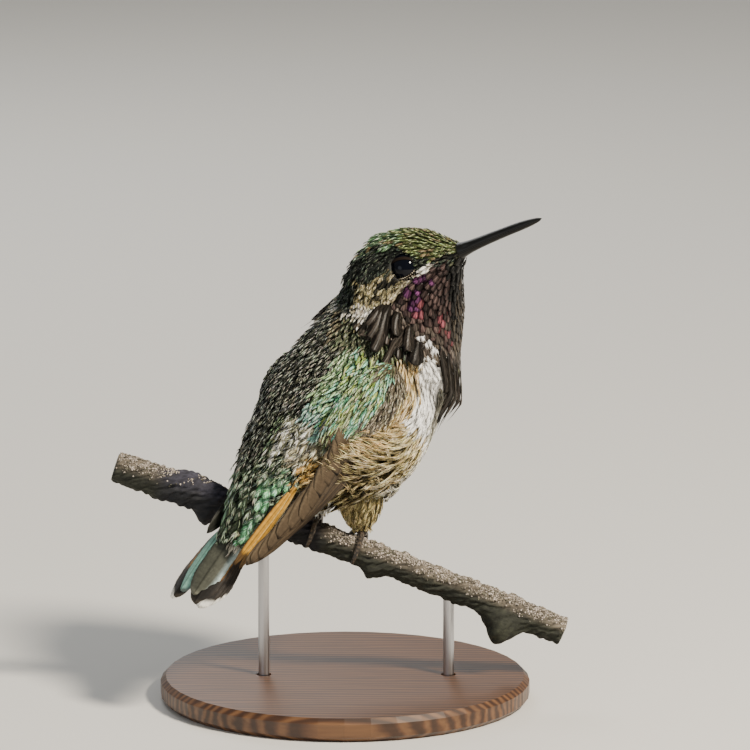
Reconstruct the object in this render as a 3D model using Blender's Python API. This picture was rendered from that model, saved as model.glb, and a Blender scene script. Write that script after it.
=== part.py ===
"""A male hummingbird, life size, perched on a cut twig that two short rods hold over a round base.

The bird is one lofted body, parted by thin gaps into trunk, neck and head, with folded wings, a tail of ten
feathers, legs, gripping feet, eyes and a two-part bill. Lengths in the tables are millimetres, angles are
degrees, and every mesh is built in metres with +Z up. The origin is the middle of the base's underside.
"""

import math
from typing import NamedTuple

import bmesh
import bpy
from mathutils import Matrix, Vector

MM = 0.001
GAP = 0.3

# The stand and the twig.
BASE_RADIUS = 25.0
BASE_THICKNESS = 3.2
BASE_BEVEL = 0.7
ROD_RADIUS = 0.75
ROD_PLACES = (-11.0, 14.0)
ROD_SINK = 1.3
PERCH_HEIGHT = 23.0
PERCH_ENDS = (-31.0, 29.5)
PERCH_RADIUS = 1.9
PERCH_SLOPE = -0.378
PERCH_SAG = 0.0008

# The body.
BODY_SIDES = 24
TAIL_ROOT, TRUNK_END, NECK_END, BILL_ROOT = 0.0, 5.0, 6.35, 10.0
PART_STEP = 0.07
FLAT_ANGLE = 1.2
GORGET_SWELL = 2.7

# The head's hard parts.
EYE_AT = (7.27, 75.0)
EYE_RADIUS = 2.05
EYE_DEPTH = 1.9
BILL_LENGTH = 12.3
BILL_HALF_WIDTH = 0.95
BILL_HALF_DEPTH = 0.74

# The folded wings, tail and feet.
TAIL_SLOPE = 24.0
LEFT_SLOPE = 5.0
TAIL_PITCH = 43.0
TAIL_HEADING = 38.0
LEFT_FAN = 1.15
VANE_THICKNESS = 0.6
TOE_RADIUS = 0.36
CLAW_RADIUS = 0.2
PALM_RADIUS = 0.58
TARSUS_RADIUS = 0.46


class Section(NamedTuple):
    """One cross-section of the body: where it is, how it is turned, and how far it reaches each way."""

    place: tuple
    pitch: float
    heading: float
    roll: float
    half_width: float
    back: float
    belly: float


# From the root of the tail to the root of the bill. Places are measured from the top of the twig.
SECTIONS = (
    Section((-14.4, -9.3, 1.9), 50, 38, 0, 3.7, 1.1, 1.5),
    Section((-11.6, -6.9, 7.0), 53, 38, 0, 5.4, 2.6, 5.6),
    Section((-7.8, -4.1, 12.6), 49, 38, 0, 7.6, 4.2, 12.6),
    Section((-3.8, -1.0, 17.3), 46, 38, 0, 9.8, 6.0, 17.6),
    Section((0.4, 1.8, 22.4), 48, 32, 2, 9.6, 6.4, 16.7),
    Section((3.6, 3.7, 27.0), 49, 18, 4, 7.6, 6.2, 13.2),
    Section((6.0, 4.6, 31.4), 47, -2, 7, 6.1, 6.8, 10.4),
    Section((8.8, 4.5, 35.0), 38, -18, 9, 5.5, 6.3, 8.4),
    Section((11.7, 3.4, 36.9), 29, -24, 9, 4.4, 4.6, 5.8),
    Section((14.0, 2.2, 37.8), 26, -25, 9, 2.8, 2.7, 3.2),
    Section((15.9, 1.1, 38.5), 27, -25, 9, 1.3, 1.15, 1.3),
)


def spline(values, t):
    """Reads a smooth curve through evenly spaced values, whose ends run straight on."""
    last = len(values) - 1
    i = min(max(int(math.floor(t)), 0), last - 1)
    u = t - i
    p1, p2 = values[i], values[i + 1]
    p0 = values[i - 1] if i > 0 else 2 * p1 - p2
    p3 = values[i + 2] if i + 2 <= last else 2 * p2 - p1
    return p1 + 0.5 * u * (p2 - p0 + u * (2 * p0 - 5 * p1 + 4 * p2 - p3 + u * (3 * (p1 - p2) + p3 - p0)))


def axes(pitch, heading, roll=0.0):
    """Forward, right and up for something that points this way and leans its top to its right by roll."""
    p, h, r = (math.radians(v) for v in (pitch, heading, roll))
    forward = Vector((math.cos(p) * math.cos(h), math.cos(p) * math.sin(h), math.sin(p)))
    level = forward.cross(Vector((0, 0, 1))).normalized()
    raised = level.cross(forward)
    right = level * math.cos(r) - raised * math.sin(r)
    return forward, right, level * math.sin(r) + raised * math.cos(r)


def section_at(t):
    """The body's cross-section at t, counted in sections from the tail's root."""
    place = Vector([spline([s.place[k] for s in SECTIONS], t) for k in range(3)])
    turn = [spline([getattr(s, k) for s in SECTIONS], t) for k in ("pitch", "heading", "roll")]
    reach = [spline([getattr(s, k) for s in SECTIONS], t) for k in ("half_width", "back", "belly")]
    return place + Vector((0, 0, PERCH_HEIGHT)), axes(*turn), reach


def gorget_swell(t, angle):
    """How far the throat's feathers stand out in front of the neck and chin."""
    rise = min(1.0, max(0.0, (t - 4.3) / 0.7)) * min(1.0, max(0.0, (9.3 - t) / 1.6))
    return GORGET_SWELL * rise * max(0.0, -math.cos(math.radians(angle))) ** 1.5


def body_point(t, angle, lift=0.0, swell=True):
    """A point on the body, in millimetres. The angle runs from the back, by the bird's right, to the belly."""
    place, (_, right, up), (half_width, back, belly) = section_at(t)
    lift = lift + (gorget_swell(t, angle) if swell else 0.0)
    a = math.radians(angle)
    height = back if math.cos(a) > 0 else belly
    out = (right * (math.sin(a) / half_width) + up * (math.cos(a) / height)).normalized()
    return place + right * (half_width * math.sin(a)) + up * (height * math.cos(a)) + out * lift


def material(name, color, roughness, metallic=0.0):
    found = bpy.data.materials.get(name)
    if found:
        return found
    made = bpy.data.materials.new(name)
    made.use_nodes = True
    shader = made.node_tree.nodes["Principled BSDF"]
    shader.inputs["Base Color"].default_value = (*color, 1.0)
    shader.inputs["Roughness"].default_value = roughness
    shader.inputs["Metallic"].default_value = metallic
    return made


def clear_scene():
    for old in list(bpy.data.objects):
        bpy.data.objects.remove(old)


def collection(name):
    made = bpy.data.collections.new(name)
    bpy.context.scene.collection.children.link(made)
    return made


def add_object(name, mesh, where, finish=None):
    made = bpy.data.objects.new(name, mesh)
    where.objects.link(made)
    if finish:
        mesh.materials.append(finish)
    mesh.shade_smooth()
    mesh.set_sharp_from_angle(angle=math.radians(50))
    return made


def mesh_of(bm, name):
    """A mesh in metres from a bmesh in millimetres, facing outwards, with flat faces for clean cuts."""
    bmesh.ops.recalc_face_normals(bm, faces=bm.faces)
    bmesh.ops.triangulate(bm, faces=bm.faces)
    bmesh.ops.scale(bm, vec=(MM, MM, MM), verts=bm.verts)
    mesh = bpy.data.meshes.new(name)
    bm.to_mesh(mesh)
    bm.free()
    return mesh


def loft(name, rings):
    """A closed mesh through rings of points, with a flat cap on each end ring."""
    bm = bmesh.new()
    rows = [[bm.verts.new(p) for p in ring] for ring in rings]
    n = len(rows[0])
    for low, high in zip(rows, rows[1:]):
        for i in range(n):
            bm.faces.new((low[i], low[(i + 1) % n], high[(i + 1) % n], high[i]))
    bm.faces.new(rows[0])
    bm.faces.new(rows[-1])
    return mesh_of(bm, name)


def ellipse_ring(centre, side, up, half_side, half_up, points):
    turns = [2 * math.pi * i / points for i in range(points)]
    return [centre + side * (half_side * math.cos(a)) + up * (half_up * math.sin(a)) for a in turns]


def sphere(name, centre, radius, where, finish=None, segments=14):
    bm = bmesh.new()
    bmesh.ops.create_uvsphere(bm, u_segments=segments, v_segments=segments // 2 + 1, radius=radius)
    bmesh.ops.translate(bm, verts=bm.verts, vec=centre)
    return add_object(name, mesh_of(bm, name), where, finish)


def rod_between(name, low, high, radius, where, finish=None, segments=16):
    """A round bar from one point to another, closed at both ends."""
    along = high - low
    bm = bmesh.new()
    bmesh.ops.create_cone(
        bm, cap_ends=True, segments=segments, radius1=radius, radius2=radius, depth=along.length
    )
    turned = along.to_track_quat("Z", "Y").to_matrix().to_4x4()
    bmesh.ops.transform(bm, matrix=Matrix.Translation((low + high) / 2) @ turned, verts=bm.verts)
    return add_object(name, mesh_of(bm, name), where, finish)


def boolean(target, other, operation):
    """Joins another object to the target, or cuts it away, and applies the result to the target's mesh."""
    step = target.modifiers.new(operation.title(), "BOOLEAN")
    step.operation = operation
    step.object = other
    graph = bpy.context.evaluated_depsgraph_get()
    shaped = bpy.data.meshes.new_from_object(target.evaluated_get(graph))
    target.modifiers.remove(step)
    bm = bmesh.new()
    bm.from_mesh(shaped)
    bmesh.ops.dissolve_limit(bm, angle_limit=math.radians(FLAT_ANGLE), verts=bm.verts, edges=bm.edges)
    bmesh.ops.triangulate(bm, faces=bm.faces)
    bm.to_mesh(shaped)
    bm.free()
    target.data = shaped


def join_all(pieces):
    """One solid from overlapping pieces. The first piece keeps its name, and the others are removed."""
    first = pieces[0]
    for piece in pieces[1:]:
        boolean(first, piece, "UNION")
        bpy.data.objects.remove(piece)
    return first


def as_cutter(obj, cutters):
    """Moves an object to the cutters' collection, out of the model."""
    for held in obj.users_collection:
        held.objects.unlink(obj)
    cutters.objects.link(obj)
    obj.hide_render = True
    obj.display_type = "WIRE"
    return obj


class Feather(NamedTuple):
    """One flight feather, lying along its axis with its faces square to its normal."""

    root: Vector
    along: Vector
    normal: Vector
    length: float
    width: float
    droop: float


def vane(name, feather, where, finish, stations=6, across=1):
    """A thin closed feather with a rounded tip, a slight droop along its length and a slight crown across it."""
    side = feather.along.cross(feather.normal).normalized()
    crown = 0.07 * feather.width
    rings = []
    for k in range(stations + 1):
        s = k / stations
        share = math.sin(math.pi / 2 * min(1.0, 0.42 + 1.6 * s))
        half = 0.5 * feather.width * share * math.sqrt(max(0.05, 1 - (max(0.0, s - 0.6) / 0.4) ** 2.6))
        middle = feather.root + feather.along * (feather.length * s)
        middle = middle - feather.normal * (feather.droop * s * s)
        top, bottom = [], []
        for j in range(-across, across + 1):
            v = j / across
            edge = 0.5 * VANE_THICKNESS * (1 - 0.35 * v * v)
            line = middle + side * (half * v) - feather.normal * (crown * v * v)
            top.append(line + feather.normal * edge)
            bottom.append(line - feather.normal * edge)
        rings.append(top + bottom[::-1])
    return add_object(name, loft(name, rings), where, finish)


# The stand.


def perch_centre(x):
    """The twig's centre line, in millimetres."""
    drop = PERCH_SLOPE * x - PERCH_SAG * x * x
    return Vector((x, 0.0, PERCH_HEIGHT - PERCH_RADIUS - 0.1 + drop))


# Swellings of the twig: place along it, height, direction round it from the top towards the front, and length.
KNOTS = (
    (-28.5, 0.3, 10, 3.0),
    (-20.6, 0.95, 5, 3.1),
    (-24.8, 0.45, 182, 4.2),
    (-17.9, 1.7, 178, 1.5),
    (4.1, 1.1, 165, 1.2),
    (22.0, 3.4, 162, 2.0),
)


def perch_radius(x, around):
    radius = PERCH_RADIUS + 0.06 * math.sin(1.7 * x) + 0.05 * math.sin(3 * around + 0.4 * x)
    for place, height, facing, length in KNOTS:
        towards = max(0.0, math.cos(around - math.radians(facing)))
        radius += height * math.exp(-(((x - place) / length) ** 2)) * towards**3
    return radius


def perch_ring(x, points=14):
    """One ring of the twig. Its angle runs from the top to the front, so it turns about the twig's line."""
    slope = (perch_centre(x + 0.1) - perch_centre(x - 0.1)).normalized()
    front = Vector((0, -1, 0))
    up = front.cross(slope)
    if up.z < 0:
        up = -up
    ring = []
    for i in range(points):
        a = 2 * math.pi * i / points
        ring.append(perch_centre(x) + (up * math.cos(a) + front * math.sin(a)) * perch_radius(x, a))
    return ring


def build_stand(parts, cutters):
    wood = material("stand wood", (0.16, 0.09, 0.05), 0.45)
    steel = material("stand steel", (0.55, 0.55, 0.56), 0.3, 1.0)
    bark = material("bark", (0.2, 0.17, 0.15), 0.85)

    bm = bmesh.new()
    bmesh.ops.create_cone(
        bm, cap_ends=True, segments=44, radius1=BASE_RADIUS, radius2=BASE_RADIUS, depth=BASE_THICKNESS
    )
    bmesh.ops.translate(bm, verts=bm.verts, vec=(0, 0, BASE_THICKNESS / 2))
    rim = [e for e in bm.edges if len({round(v.co.z, 3) for v in e.verts}) == 1 and e.is_boundary is False]
    rim = [e for e in rim if all(math.hypot(v.co.x, v.co.y) > BASE_RADIUS - 0.1 for v in e.verts)]
    bmesh.ops.bevel(bm, geom=rim, offset=BASE_BEVEL, segments=1, profile=0.5, affect="EDGES")
    base = add_object("stand_base", mesh_of(bm, "stand_base"), parts, wood)

    count = 26
    step = (PERCH_ENDS[1] - PERCH_ENDS[0]) / count
    rings = [perch_ring(PERCH_ENDS[0] + step * i) for i in range(count + 1)]
    perch = add_object("perch", loft("perch", rings), parts, bark)

    for side, x in zip(("left", "right"), ROD_PLACES):
        foot = Vector((x, 0, BASE_THICKNESS - ROD_SINK))
        bottom = perch_centre(x).z - perch_radius(x, math.pi)
        head = Vector((x, 0, bottom + ROD_SINK))
        rod_between(f"stand_rod_{side}", foot, head, ROD_RADIUS, parts, steel)
        past = Vector((0, 0, GAP))
        bore = rod_between(f"bore_{side}", foot - past, head + past, ROD_RADIUS + GAP, parts)
        as_cutter(bore, cutters)
        boolean(base, bore, "DIFFERENCE")
        boolean(perch, bore, "DIFFERENCE")


# The bird.


def body_loft(name, t_from, t_to, rings, lift=0.0, swell=False):
    ts = [t_from + (t_to - t_from) * i / rings for i in range(rings + 1)]
    angles = [360 * i / BODY_SIDES for i in range(BODY_SIDES)]
    return loft(name, [[body_point(t, a, lift, swell) for a in angles] for t in ts])


class Lobe(NamedTuple):
    """A pointed flap of throat feathers that hangs from the neck over the breast or the shoulder."""

    root: tuple
    tip: tuple
    half_angle: float
    lift: float


# Roots and tips as places on the body: sections from the tail's root, and degrees from the back by the right.
LOBES = (
    Lobe((5.7, 46), (4.3, 26), 10, 0.85),
    Lobe((5.6, 64), (4.45, 52), 10, 0.95),
    Lobe((5.5, 84), (4.66, 78), 9, 0.85),
    Lobe((5.5, 108), (4.74, 104), 9, 0.9),
    Lobe((5.5, 152), (4.82, 154), 9, 2.5),
    Lobe((5.5, -160), (4.8, -162), 9, 2.4),
    Lobe((5.5, -112), (4.74, -110), 9, 0.9),
    Lobe((5.6, -76), (4.5, -70), 10, 0.7),
)


def throat_lobe(name, lobe, where, finish):
    """A flap's solid: sunk into the neck at its root, and clear of the trunk below it."""
    seam = TRUNK_END + PART_STEP
    ts = [lobe.root[0], seam + 0.04, seam - 0.03]
    ts += [seam + (lobe.tip[0] - seam) * k / 3 for k in range(1, 4)]
    rings = []
    for t in ts:
        run = (lobe.root[0] - t) / (lobe.root[0] - lobe.tip[0])
        hang = max(0.0, (seam - t) / (seam - lobe.tip[0]))
        middle = lobe.root[1] + (lobe.tip[1] - lobe.root[1]) * run
        half = lobe.half_angle * max(0.06, 1 - hang**1.5)
        low = GAP + 0.05 if t < seam else -0.6
        low = max(low, lobe.lift - 1.3) if t < seam else low
        angles = [middle + half * v for v in (-1.0, -0.4, 0.4, 1.0)]
        top = [body_point(t, a, lobe.lift, False) for a in angles]
        bottom = [body_point(t, a, low, False) for a in reversed(angles)]
        rings.append(top + bottom)
    return add_object(name, loft(name, rings), where, finish)


def build_body(parts, cutters):
    """Trunk, neck and head along one loft, with a socket for each eye."""
    body = material("body feathers", (0.2, 0.22, 0.12), 0.6)
    gorget = material("gorget feathers", (0.16, 0.05, 0.09), 0.45)
    crown = material("crown feathers", (0.12, 0.2, 0.06), 0.5)
    add_object("trunk", body_loft("trunk", TAIL_ROOT, TRUNK_END, 18), parts, body)
    neck = add_object("neck", body_loft("neck", TRUNK_END + PART_STEP, NECK_END, 4, swell=True), parts, gorget)
    join_all([neck] + [throat_lobe(f"lobe_{k}", lobe, parts, gorget) for k, lobe in enumerate(LOBES)])
    head = add_object("head", body_loft("head", NECK_END + PART_STEP, BILL_ROOT, 12, swell=True), parts, crown)
    dark = material("eye", (0.01, 0.008, 0.012), 0.08)
    for side, turn in (("right", 1), ("left", -1)):
        centre = body_point(EYE_AT[0], turn * EYE_AT[1], -EYE_DEPTH)
        sphere(f"eye_{side}", centre, EYE_RADIUS, parts, dark)
        socket = as_cutter(sphere(f"socket_{side}", centre, EYE_RADIUS + GAP, parts), cutters)
        boolean(head, socket, "DIFFERENCE")


def build_bill(parts):
    """Upper and lower halves of the bill, each a half-round bar that ends in a point."""
    horn = material("bill", (0.02, 0.018, 0.02), 0.35)
    place, (forward, right, up), _ = section_at(BILL_ROOT)
    for name, way, share in (("bill_upper", 1, 1.15), ("bill_lower", -1, 0.85)):
        rings = []
        for k in range(13):
            s = k / 12
            taper = (1 - 0.34 * s) * math.sqrt(max(0.02, 1 - (max(0.0, s - 0.7) / 0.3) ** 2))
            length = BILL_LENGTH * (1.0 if way > 0 else 0.985)
            middle = place + forward * (GAP + length * s) - up * (0.55 * s * s)
            inner = middle + up * (way * GAP / 2)
            half_up = BILL_HALF_DEPTH * share * taper * (1 + 0.35 * math.exp(-9 * s)) - GAP / 2
            half_side = BILL_HALF_WIDTH * taper * (1 + 0.3 * math.exp(-9 * s))
            turns = [math.pi * i / 8 for i in range(9)]
            rings.append(
                [inner + right * (half_side * math.cos(a)) + up * (way * max(0.12, half_up) * math.sin(a)) for a in turns]
            )
        add_object(name, loft(name, rings), parts, horn)


class Wing(NamedTuple):
    """A folded wing: its side, where on the body and how far off it the wrist lies, and the place of its tip."""

    name: str
    turn: int
    wrist: tuple
    lift: float
    tip: tuple


WINGS = (
    Wing("wing_right", 1, (4.15, 86.0), 0.9, (-12.8, -15.4, -1.4)),
    Wing("wing_left", -1, (4.0, -89.0), -0.8, (-19.3, -8.3, 1.9)),
)


def wing_frame(wing):
    """The wrist, the tip, and the wing's own directions: along it, outwards and down to its leading edge."""
    wrist = body_point(*wing.wrist, wing.lift)
    tip = Vector(wing.tip) + Vector((0, 0, PERCH_HEIGHT))
    along = (tip - wrist).normalized()
    _, right, _ = axes(46, 38)
    out = (right * wing.turn - along * (right * wing.turn).dot(along)).normalized()
    down = out.cross(along) * wing.turn
    return wrist, tip, along, out, down


def build_wings(parts, shell):
    brown = material("wing feathers", (0.13, 0.1, 0.085), 0.6)
    for wing in WINGS:
        wrist, tip, along, out, down = wing_frame(wing)
        span = (tip - wrist).length
        rings = []
        for k in range(9):
            s = k / 8
            nose = math.sqrt(1 - (1 - min(1.0, 0.06 + s / 0.22)) ** 2)
            half = 4.6 * nose * math.sin(math.pi * (0.18 + 0.6 * s)) ** 0.8
            swell = 2.3 * nose * math.sin(math.pi * min(1.0, 0.16 + 0.9 * s)) + 0.5 * nose
            middle = wrist + along * (span * (0.62 * s - 0.04)) + out * (0.55 * swell - 0.6)
            rings.append(ellipse_ring(middle, down, out, half, 0.45 * swell + 0.75 * nose, 12))
        pieces = [add_object(wing.name, loft(wing.name, rings), parts, brown)]
        for k in range(8):
            share = k / 7
            root = wrist + along * (span * (0.42 + 0.013 * k)) + down * (2.6 - 3.0 * share) + out * (1.15 - 0.05 * k)
            end = tip - along * (9.5 * share**1.15) - down * (2.2 * share) + out * (0.35 - 0.05 * k)
            line = end - root
            face = (out + down * (0.035 * k - 0.12)).normalized()
            feather = Feather(root, line.normalized(), face, line.length, 4.4, 0.5)
            pieces.append(vane(f"{wing.name}_{k}", feather, parts, brown))
        solid = join_all(pieces)
        boolean(solid, shell, "DIFFERENCE")


# Rectrices from the middle pair outwards: length past the tail's root, width, and fan angle.
RECTRICES = ((11.2, 4.4, 1.0), (12.1, 4.6, 3.6), (12.3, 4.4, 6.2), (11.5, 4.0, 8.8), (10.5, 3.6, 11.5))


def build_tail(parts, shell):
    """Ten feathers in two halves. The right half slopes down like a roof, and the left one lies wide and flat."""
    finish = material("tail feathers", (0.1, 0.1, 0.09), 0.5)
    forward, right, up = axes(TAIL_PITCH, TAIL_HEADING)
    root = section_at(TAIL_ROOT)[0] + forward * 1.2 - right * 1.7
    pieces = []
    for turn in (1, -1):
        slope = math.radians(TAIL_SLOPE if turn > 0 else LEFT_SLOPE)
        side = right * (turn * math.cos(slope)) - up * math.sin(slope)
        face = (up * math.cos(slope) + right * (turn * math.sin(slope))).normalized()
        settle = 0.17 if turn < 0 else 0.0
        for k, (length, width, fan) in enumerate(RECTRICES):
            angle = math.radians(fan * (LEFT_FAN if turn < 0 else 1.0))
            along = (-forward * math.cos(angle) + side * math.sin(angle)).normalized()
            spread = 0.16 * k if turn > 0 else 0.3 * k
            start = root + side * (0.9 + spread) - face * (0.24 * k + settle) - forward * settle
            feather = Feather(start, along, face, length, width, 0.6)
            pieces.append(vane("tail" if not pieces else f"tail_{turn}_{k}", feather, parts, finish))
    boolean(join_all(pieces), shell, "DIFFERENCE")


class Leg(NamedTuple):
    """A leg: its side, where its foot grips the twig, and where its thigh starts inside the belly."""

    name: str
    foot: float
    hip: tuple
    thigh: float


LEGS = (Leg("right", 1.3, (1.9, 0.7, 6.4), 3.7), Leg("left", -4.8, (-3.4, 1.4, 7.8), 2.9))


def smooth_tube(name, points, radii, where, finish):
    """A round bar through points, thinner towards its end, made a closed mesh."""
    curve = bpy.data.curves.new(name, "CURVE")
    curve.dimensions = "3D"
    curve.bevel_depth = MM
    curve.bevel_resolution = 1
    curve.use_fill_caps = True
    line = curve.splines.new("POLY")
    line.points.add(len(points) - 1)
    for knot, point, radius in zip(line.points, points, radii):
        knot.co = (*(point * MM), 1)
        knot.radius = radius
    guide = bpy.data.objects.new(name + "_line", curve)
    where.objects.link(guide)
    graph = bpy.context.evaluated_depsgraph_get()
    mesh = bpy.data.meshes.new_from_object(guide.evaluated_get(graph))
    bpy.data.objects.remove(guide)
    bm = bmesh.new()
    bm.from_mesh(mesh)
    bmesh.ops.remove_doubles(bm, verts=bm.verts, dist=1e-6)
    bmesh.ops.recalc_face_normals(bm, faces=bm.faces)
    bm.to_mesh(mesh)
    bm.free()
    mesh.materials.clear()
    return add_object(name, mesh, where, finish)


def grip_point(x, around, lift):
    """A point over the twig's bark, at an angle in degrees from the top towards the front."""
    slope = (perch_centre(x + 0.1) - perch_centre(x - 0.1)).normalized()
    front = Vector((0, -1, 0))
    up = front.cross(slope)
    if up.z < 0:
        up = -up
    a = math.radians(around)
    reach = perch_radius(x, a) + lift
    return perch_centre(x) + (up * math.cos(a) + front * math.sin(a)) * reach


# Toes: how far each spreads along the twig, and the angles round the twig where it starts and its claw ends.
TOES = ((-1.3, 16.0, -126.0), (0.0, 12.0, -140.0), (1.3, 14.0, -128.0), (0.15, -18.0, 122.0))


def toe(name, foot, which, where, finish):
    """One toe, wrapped round the twig and thinner at its claw."""
    spread, start, end = TOES[which]
    points, radii = [], []
    for i in range(7):
        s = i / 6
        x = foot + spread * (0.2 + 0.8 * min(1.0, 1.3 * s))
        rise = GAP + TOE_RADIUS + 0.03 * which + 0.12 * math.sin(math.pi * s)
        points.append(grip_point(x, start + (end - start) * s, rise))
        radii.append(TOE_RADIUS + (CLAW_RADIUS - TOE_RADIUS) * max(0.0, (s - 0.72) / 0.28))
    return smooth_tube(name, points, radii, where, finish)


def build_legs(parts, cutters, shell):
    plume = material("thigh feathers", (0.3, 0.25, 0.14), 0.7)
    skin = material("foot", (0.05, 0.04, 0.035), 0.6)
    lift = GAP + TOE_RADIUS
    for leg in LEGS:
        ankle = grip_point(leg.foot, 0, lift + 0.2)
        hip = Vector(leg.hip) + Vector((0, 0, PERCH_HEIGHT))
        knee = ankle + (hip - ankle).normalized() * 1.9
        pieces = [sphere(f"foot_{leg.name}", ankle, PALM_RADIUS, parts, skin, 10)]
        pieces.append(rod_between("tarsus", ankle, knee, TARSUS_RADIUS, parts, skin, 8))
        pieces += [toe(f"toe_{k}", leg.foot, k, parts, skin) for k in range(len(TOES))]
        foot = join_all(pieces)

        line = hip - ankle
        along = line.normalized()
        side = along.cross(Vector((0, 1, 0))).normalized()
        other = along.cross(side)
        rings = []
        for i in range(9):
            s = i / 8
            width = 1.05 + (leg.thigh - 1.05) * s**0.9
            rings.append(ellipse_ring(ankle + line * (0.08 + 0.92 * s), side, other, width, width, 16))
        thigh = add_object(f"leg_{leg.name}", loft(f"leg_{leg.name}", rings), parts, plume)
        boolean(thigh, shell, "DIFFERENCE")
        sleeve = as_cutter(
            rod_between(f"sleeve_{leg.name}", ankle - along, knee + along * GAP, TARSUS_RADIUS + GAP, parts), cutters
        )
        boolean(thigh, sleeve, "DIFFERENCE")


def main():
    clear_scene()
    parts = collection("hummingbird")
    cutters = collection("cutters")
    build_stand(parts, cutters)
    build_body(parts, cutters)
    build_bill(parts)
    shell = as_cutter(add_object("body_shell", body_loft("body_shell", -0.06, 6.0, 20, GAP), parts), cutters)
    build_wings(parts, shell)
    build_tail(parts, shell)
    build_legs(parts, cutters, shell)


main()
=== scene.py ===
"""A male hummingbird on a cut twig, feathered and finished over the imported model.

The bird's skin is one closed form over (t, angle): t counts cross-sections from the tail's root (0) to the
bill's root (10), and the angle runs in degrees from the back, by the bird's right, to the belly. Every small
feather grows from a place on that skin. Sizes in the tables are millimetres, and meshes are built in metres.
"""

from __future__ import annotations

import logging
import math
from collections.abc import Callable
from dataclasses import dataclass, field
from enum import Enum
from functools import partial

import bmesh
import bpy
import numpy as np
from bpy.types import Material, Mesh, Node, NodeSocket, Object
from mathutils import Matrix, Vector
from numpy import ndarray
from numpy.random import Generator, default_rng


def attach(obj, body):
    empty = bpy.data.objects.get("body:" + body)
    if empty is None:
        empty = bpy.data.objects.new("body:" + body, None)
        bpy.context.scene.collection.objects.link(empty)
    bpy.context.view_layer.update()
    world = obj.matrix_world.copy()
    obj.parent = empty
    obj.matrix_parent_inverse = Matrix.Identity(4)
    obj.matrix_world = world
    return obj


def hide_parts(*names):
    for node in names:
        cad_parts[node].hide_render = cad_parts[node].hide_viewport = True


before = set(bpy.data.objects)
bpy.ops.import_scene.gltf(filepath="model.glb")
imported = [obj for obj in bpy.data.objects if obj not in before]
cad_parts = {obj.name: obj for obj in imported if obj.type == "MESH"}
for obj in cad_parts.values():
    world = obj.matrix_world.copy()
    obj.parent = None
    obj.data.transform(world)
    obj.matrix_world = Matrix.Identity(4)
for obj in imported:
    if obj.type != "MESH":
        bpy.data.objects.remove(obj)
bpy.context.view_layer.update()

LOG = logging.getLogger("hummingbird")
MM = 0.001
SEED = 41
PERCH_TOP = 23.0
TWIG_TOP = np.array([0.0, 0.0, PERCH_TOP])

# Cross-sections: place from the top of the twig (3), pitch, heading, roll, half width, back, belly.
SECTIONS = np.array(
    [
        (-14.4, -9.3, 1.9, 50, 38, 0, 3.7, 1.1, 1.5),
        (-11.6, -6.9, 7.0, 53, 38, 0, 5.4, 2.6, 5.6),
        (-7.8, -4.1, 12.6, 49, 38, 0, 7.6, 4.2, 12.6),
        (-3.8, -1.0, 17.3, 46, 38, 0, 9.8, 6.0, 17.6),
        (0.4, 1.8, 22.4, 48, 32, 2, 9.6, 6.4, 16.7),
        (3.6, 3.7, 27.0, 49, 18, 4, 7.6, 6.2, 13.2),
        (6.0, 4.6, 31.4, 47, -2, 7, 6.1, 6.8, 10.4),
        (8.8, 4.5, 35.0, 38, -18, 9, 5.5, 6.3, 8.4),
        (11.7, 3.4, 36.9, 29, -24, 9, 4.4, 4.6, 5.8),
        (14.0, 2.2, 37.8, 26, -25, 9, 2.8, 2.7, 3.2),
        (15.9, 1.1, 38.5, 27, -25, 9, 1.3, 1.15, 1.3),
    ],
    dtype=float,
)
# How far the throat's plumes stand off, between which places, and over what lengths they rise.
GORGET_SWELL = 2.7
GORGET_SPAN = (4.3, 9.3)
GORGET_RISE = (0.7, 1.6)
# The eye's place on the head, its radius, and how deep its middle lies.
EYE_AT = (7.27, 75.0)
EYE_RADIUS = 2.05
EYE_DEPTH = 1.9


def tone(code: str) -> ndarray:
    """Turns a colour written as six hexadecimal digits into linear light.

    Args:
        code: the colour, such as "a0b0c0".

    Returns:
        Its red, green and blue in linear light.
    """
    value = np.array([int(code[i : i + 2], 16) / 255 for i in (0, 2, 4)])
    return np.where(value <= 0.04045, value / 12.92, ((value + 0.055) / 1.055) ** 2.4)


def unit(v: ndarray) -> ndarray:
    """Scales vectors to length one."""
    return v / np.maximum(np.linalg.norm(v, axis=-1, keepdims=True), 1e-12)


def ease(x: ndarray) -> ndarray:
    """Rises smoothly from 0 to 1 as x does."""
    x = np.clip(x, 0, 1)
    return x * x * (3 - 2 * x)


def window(x: ndarray, low: float, high: float, soft: float) -> ndarray:
    """Is 1 between low and high, and fades to 0 over soft outside them."""
    return ease((x - low) / soft + 1) * ease((high - x) / soft + 1)


def bell(x: ndarray, middle: float, width: float) -> ndarray:
    """Is 1 at the middle, and falls away to both sides over the width."""
    return np.exp(-(((x - middle) / width) ** 2))


def square(pu: ndarray, pv: ndarray) -> tuple[ndarray, ndarray]:
    """Gives a surface's unit direction along u, and the one square to it on the side of v."""
    eu = unit(pu)
    return eu, unit(pv - eu * np.sum(pv * eu, axis=-1, keepdims=True))


# Surfaces that feathers grow from.


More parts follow.
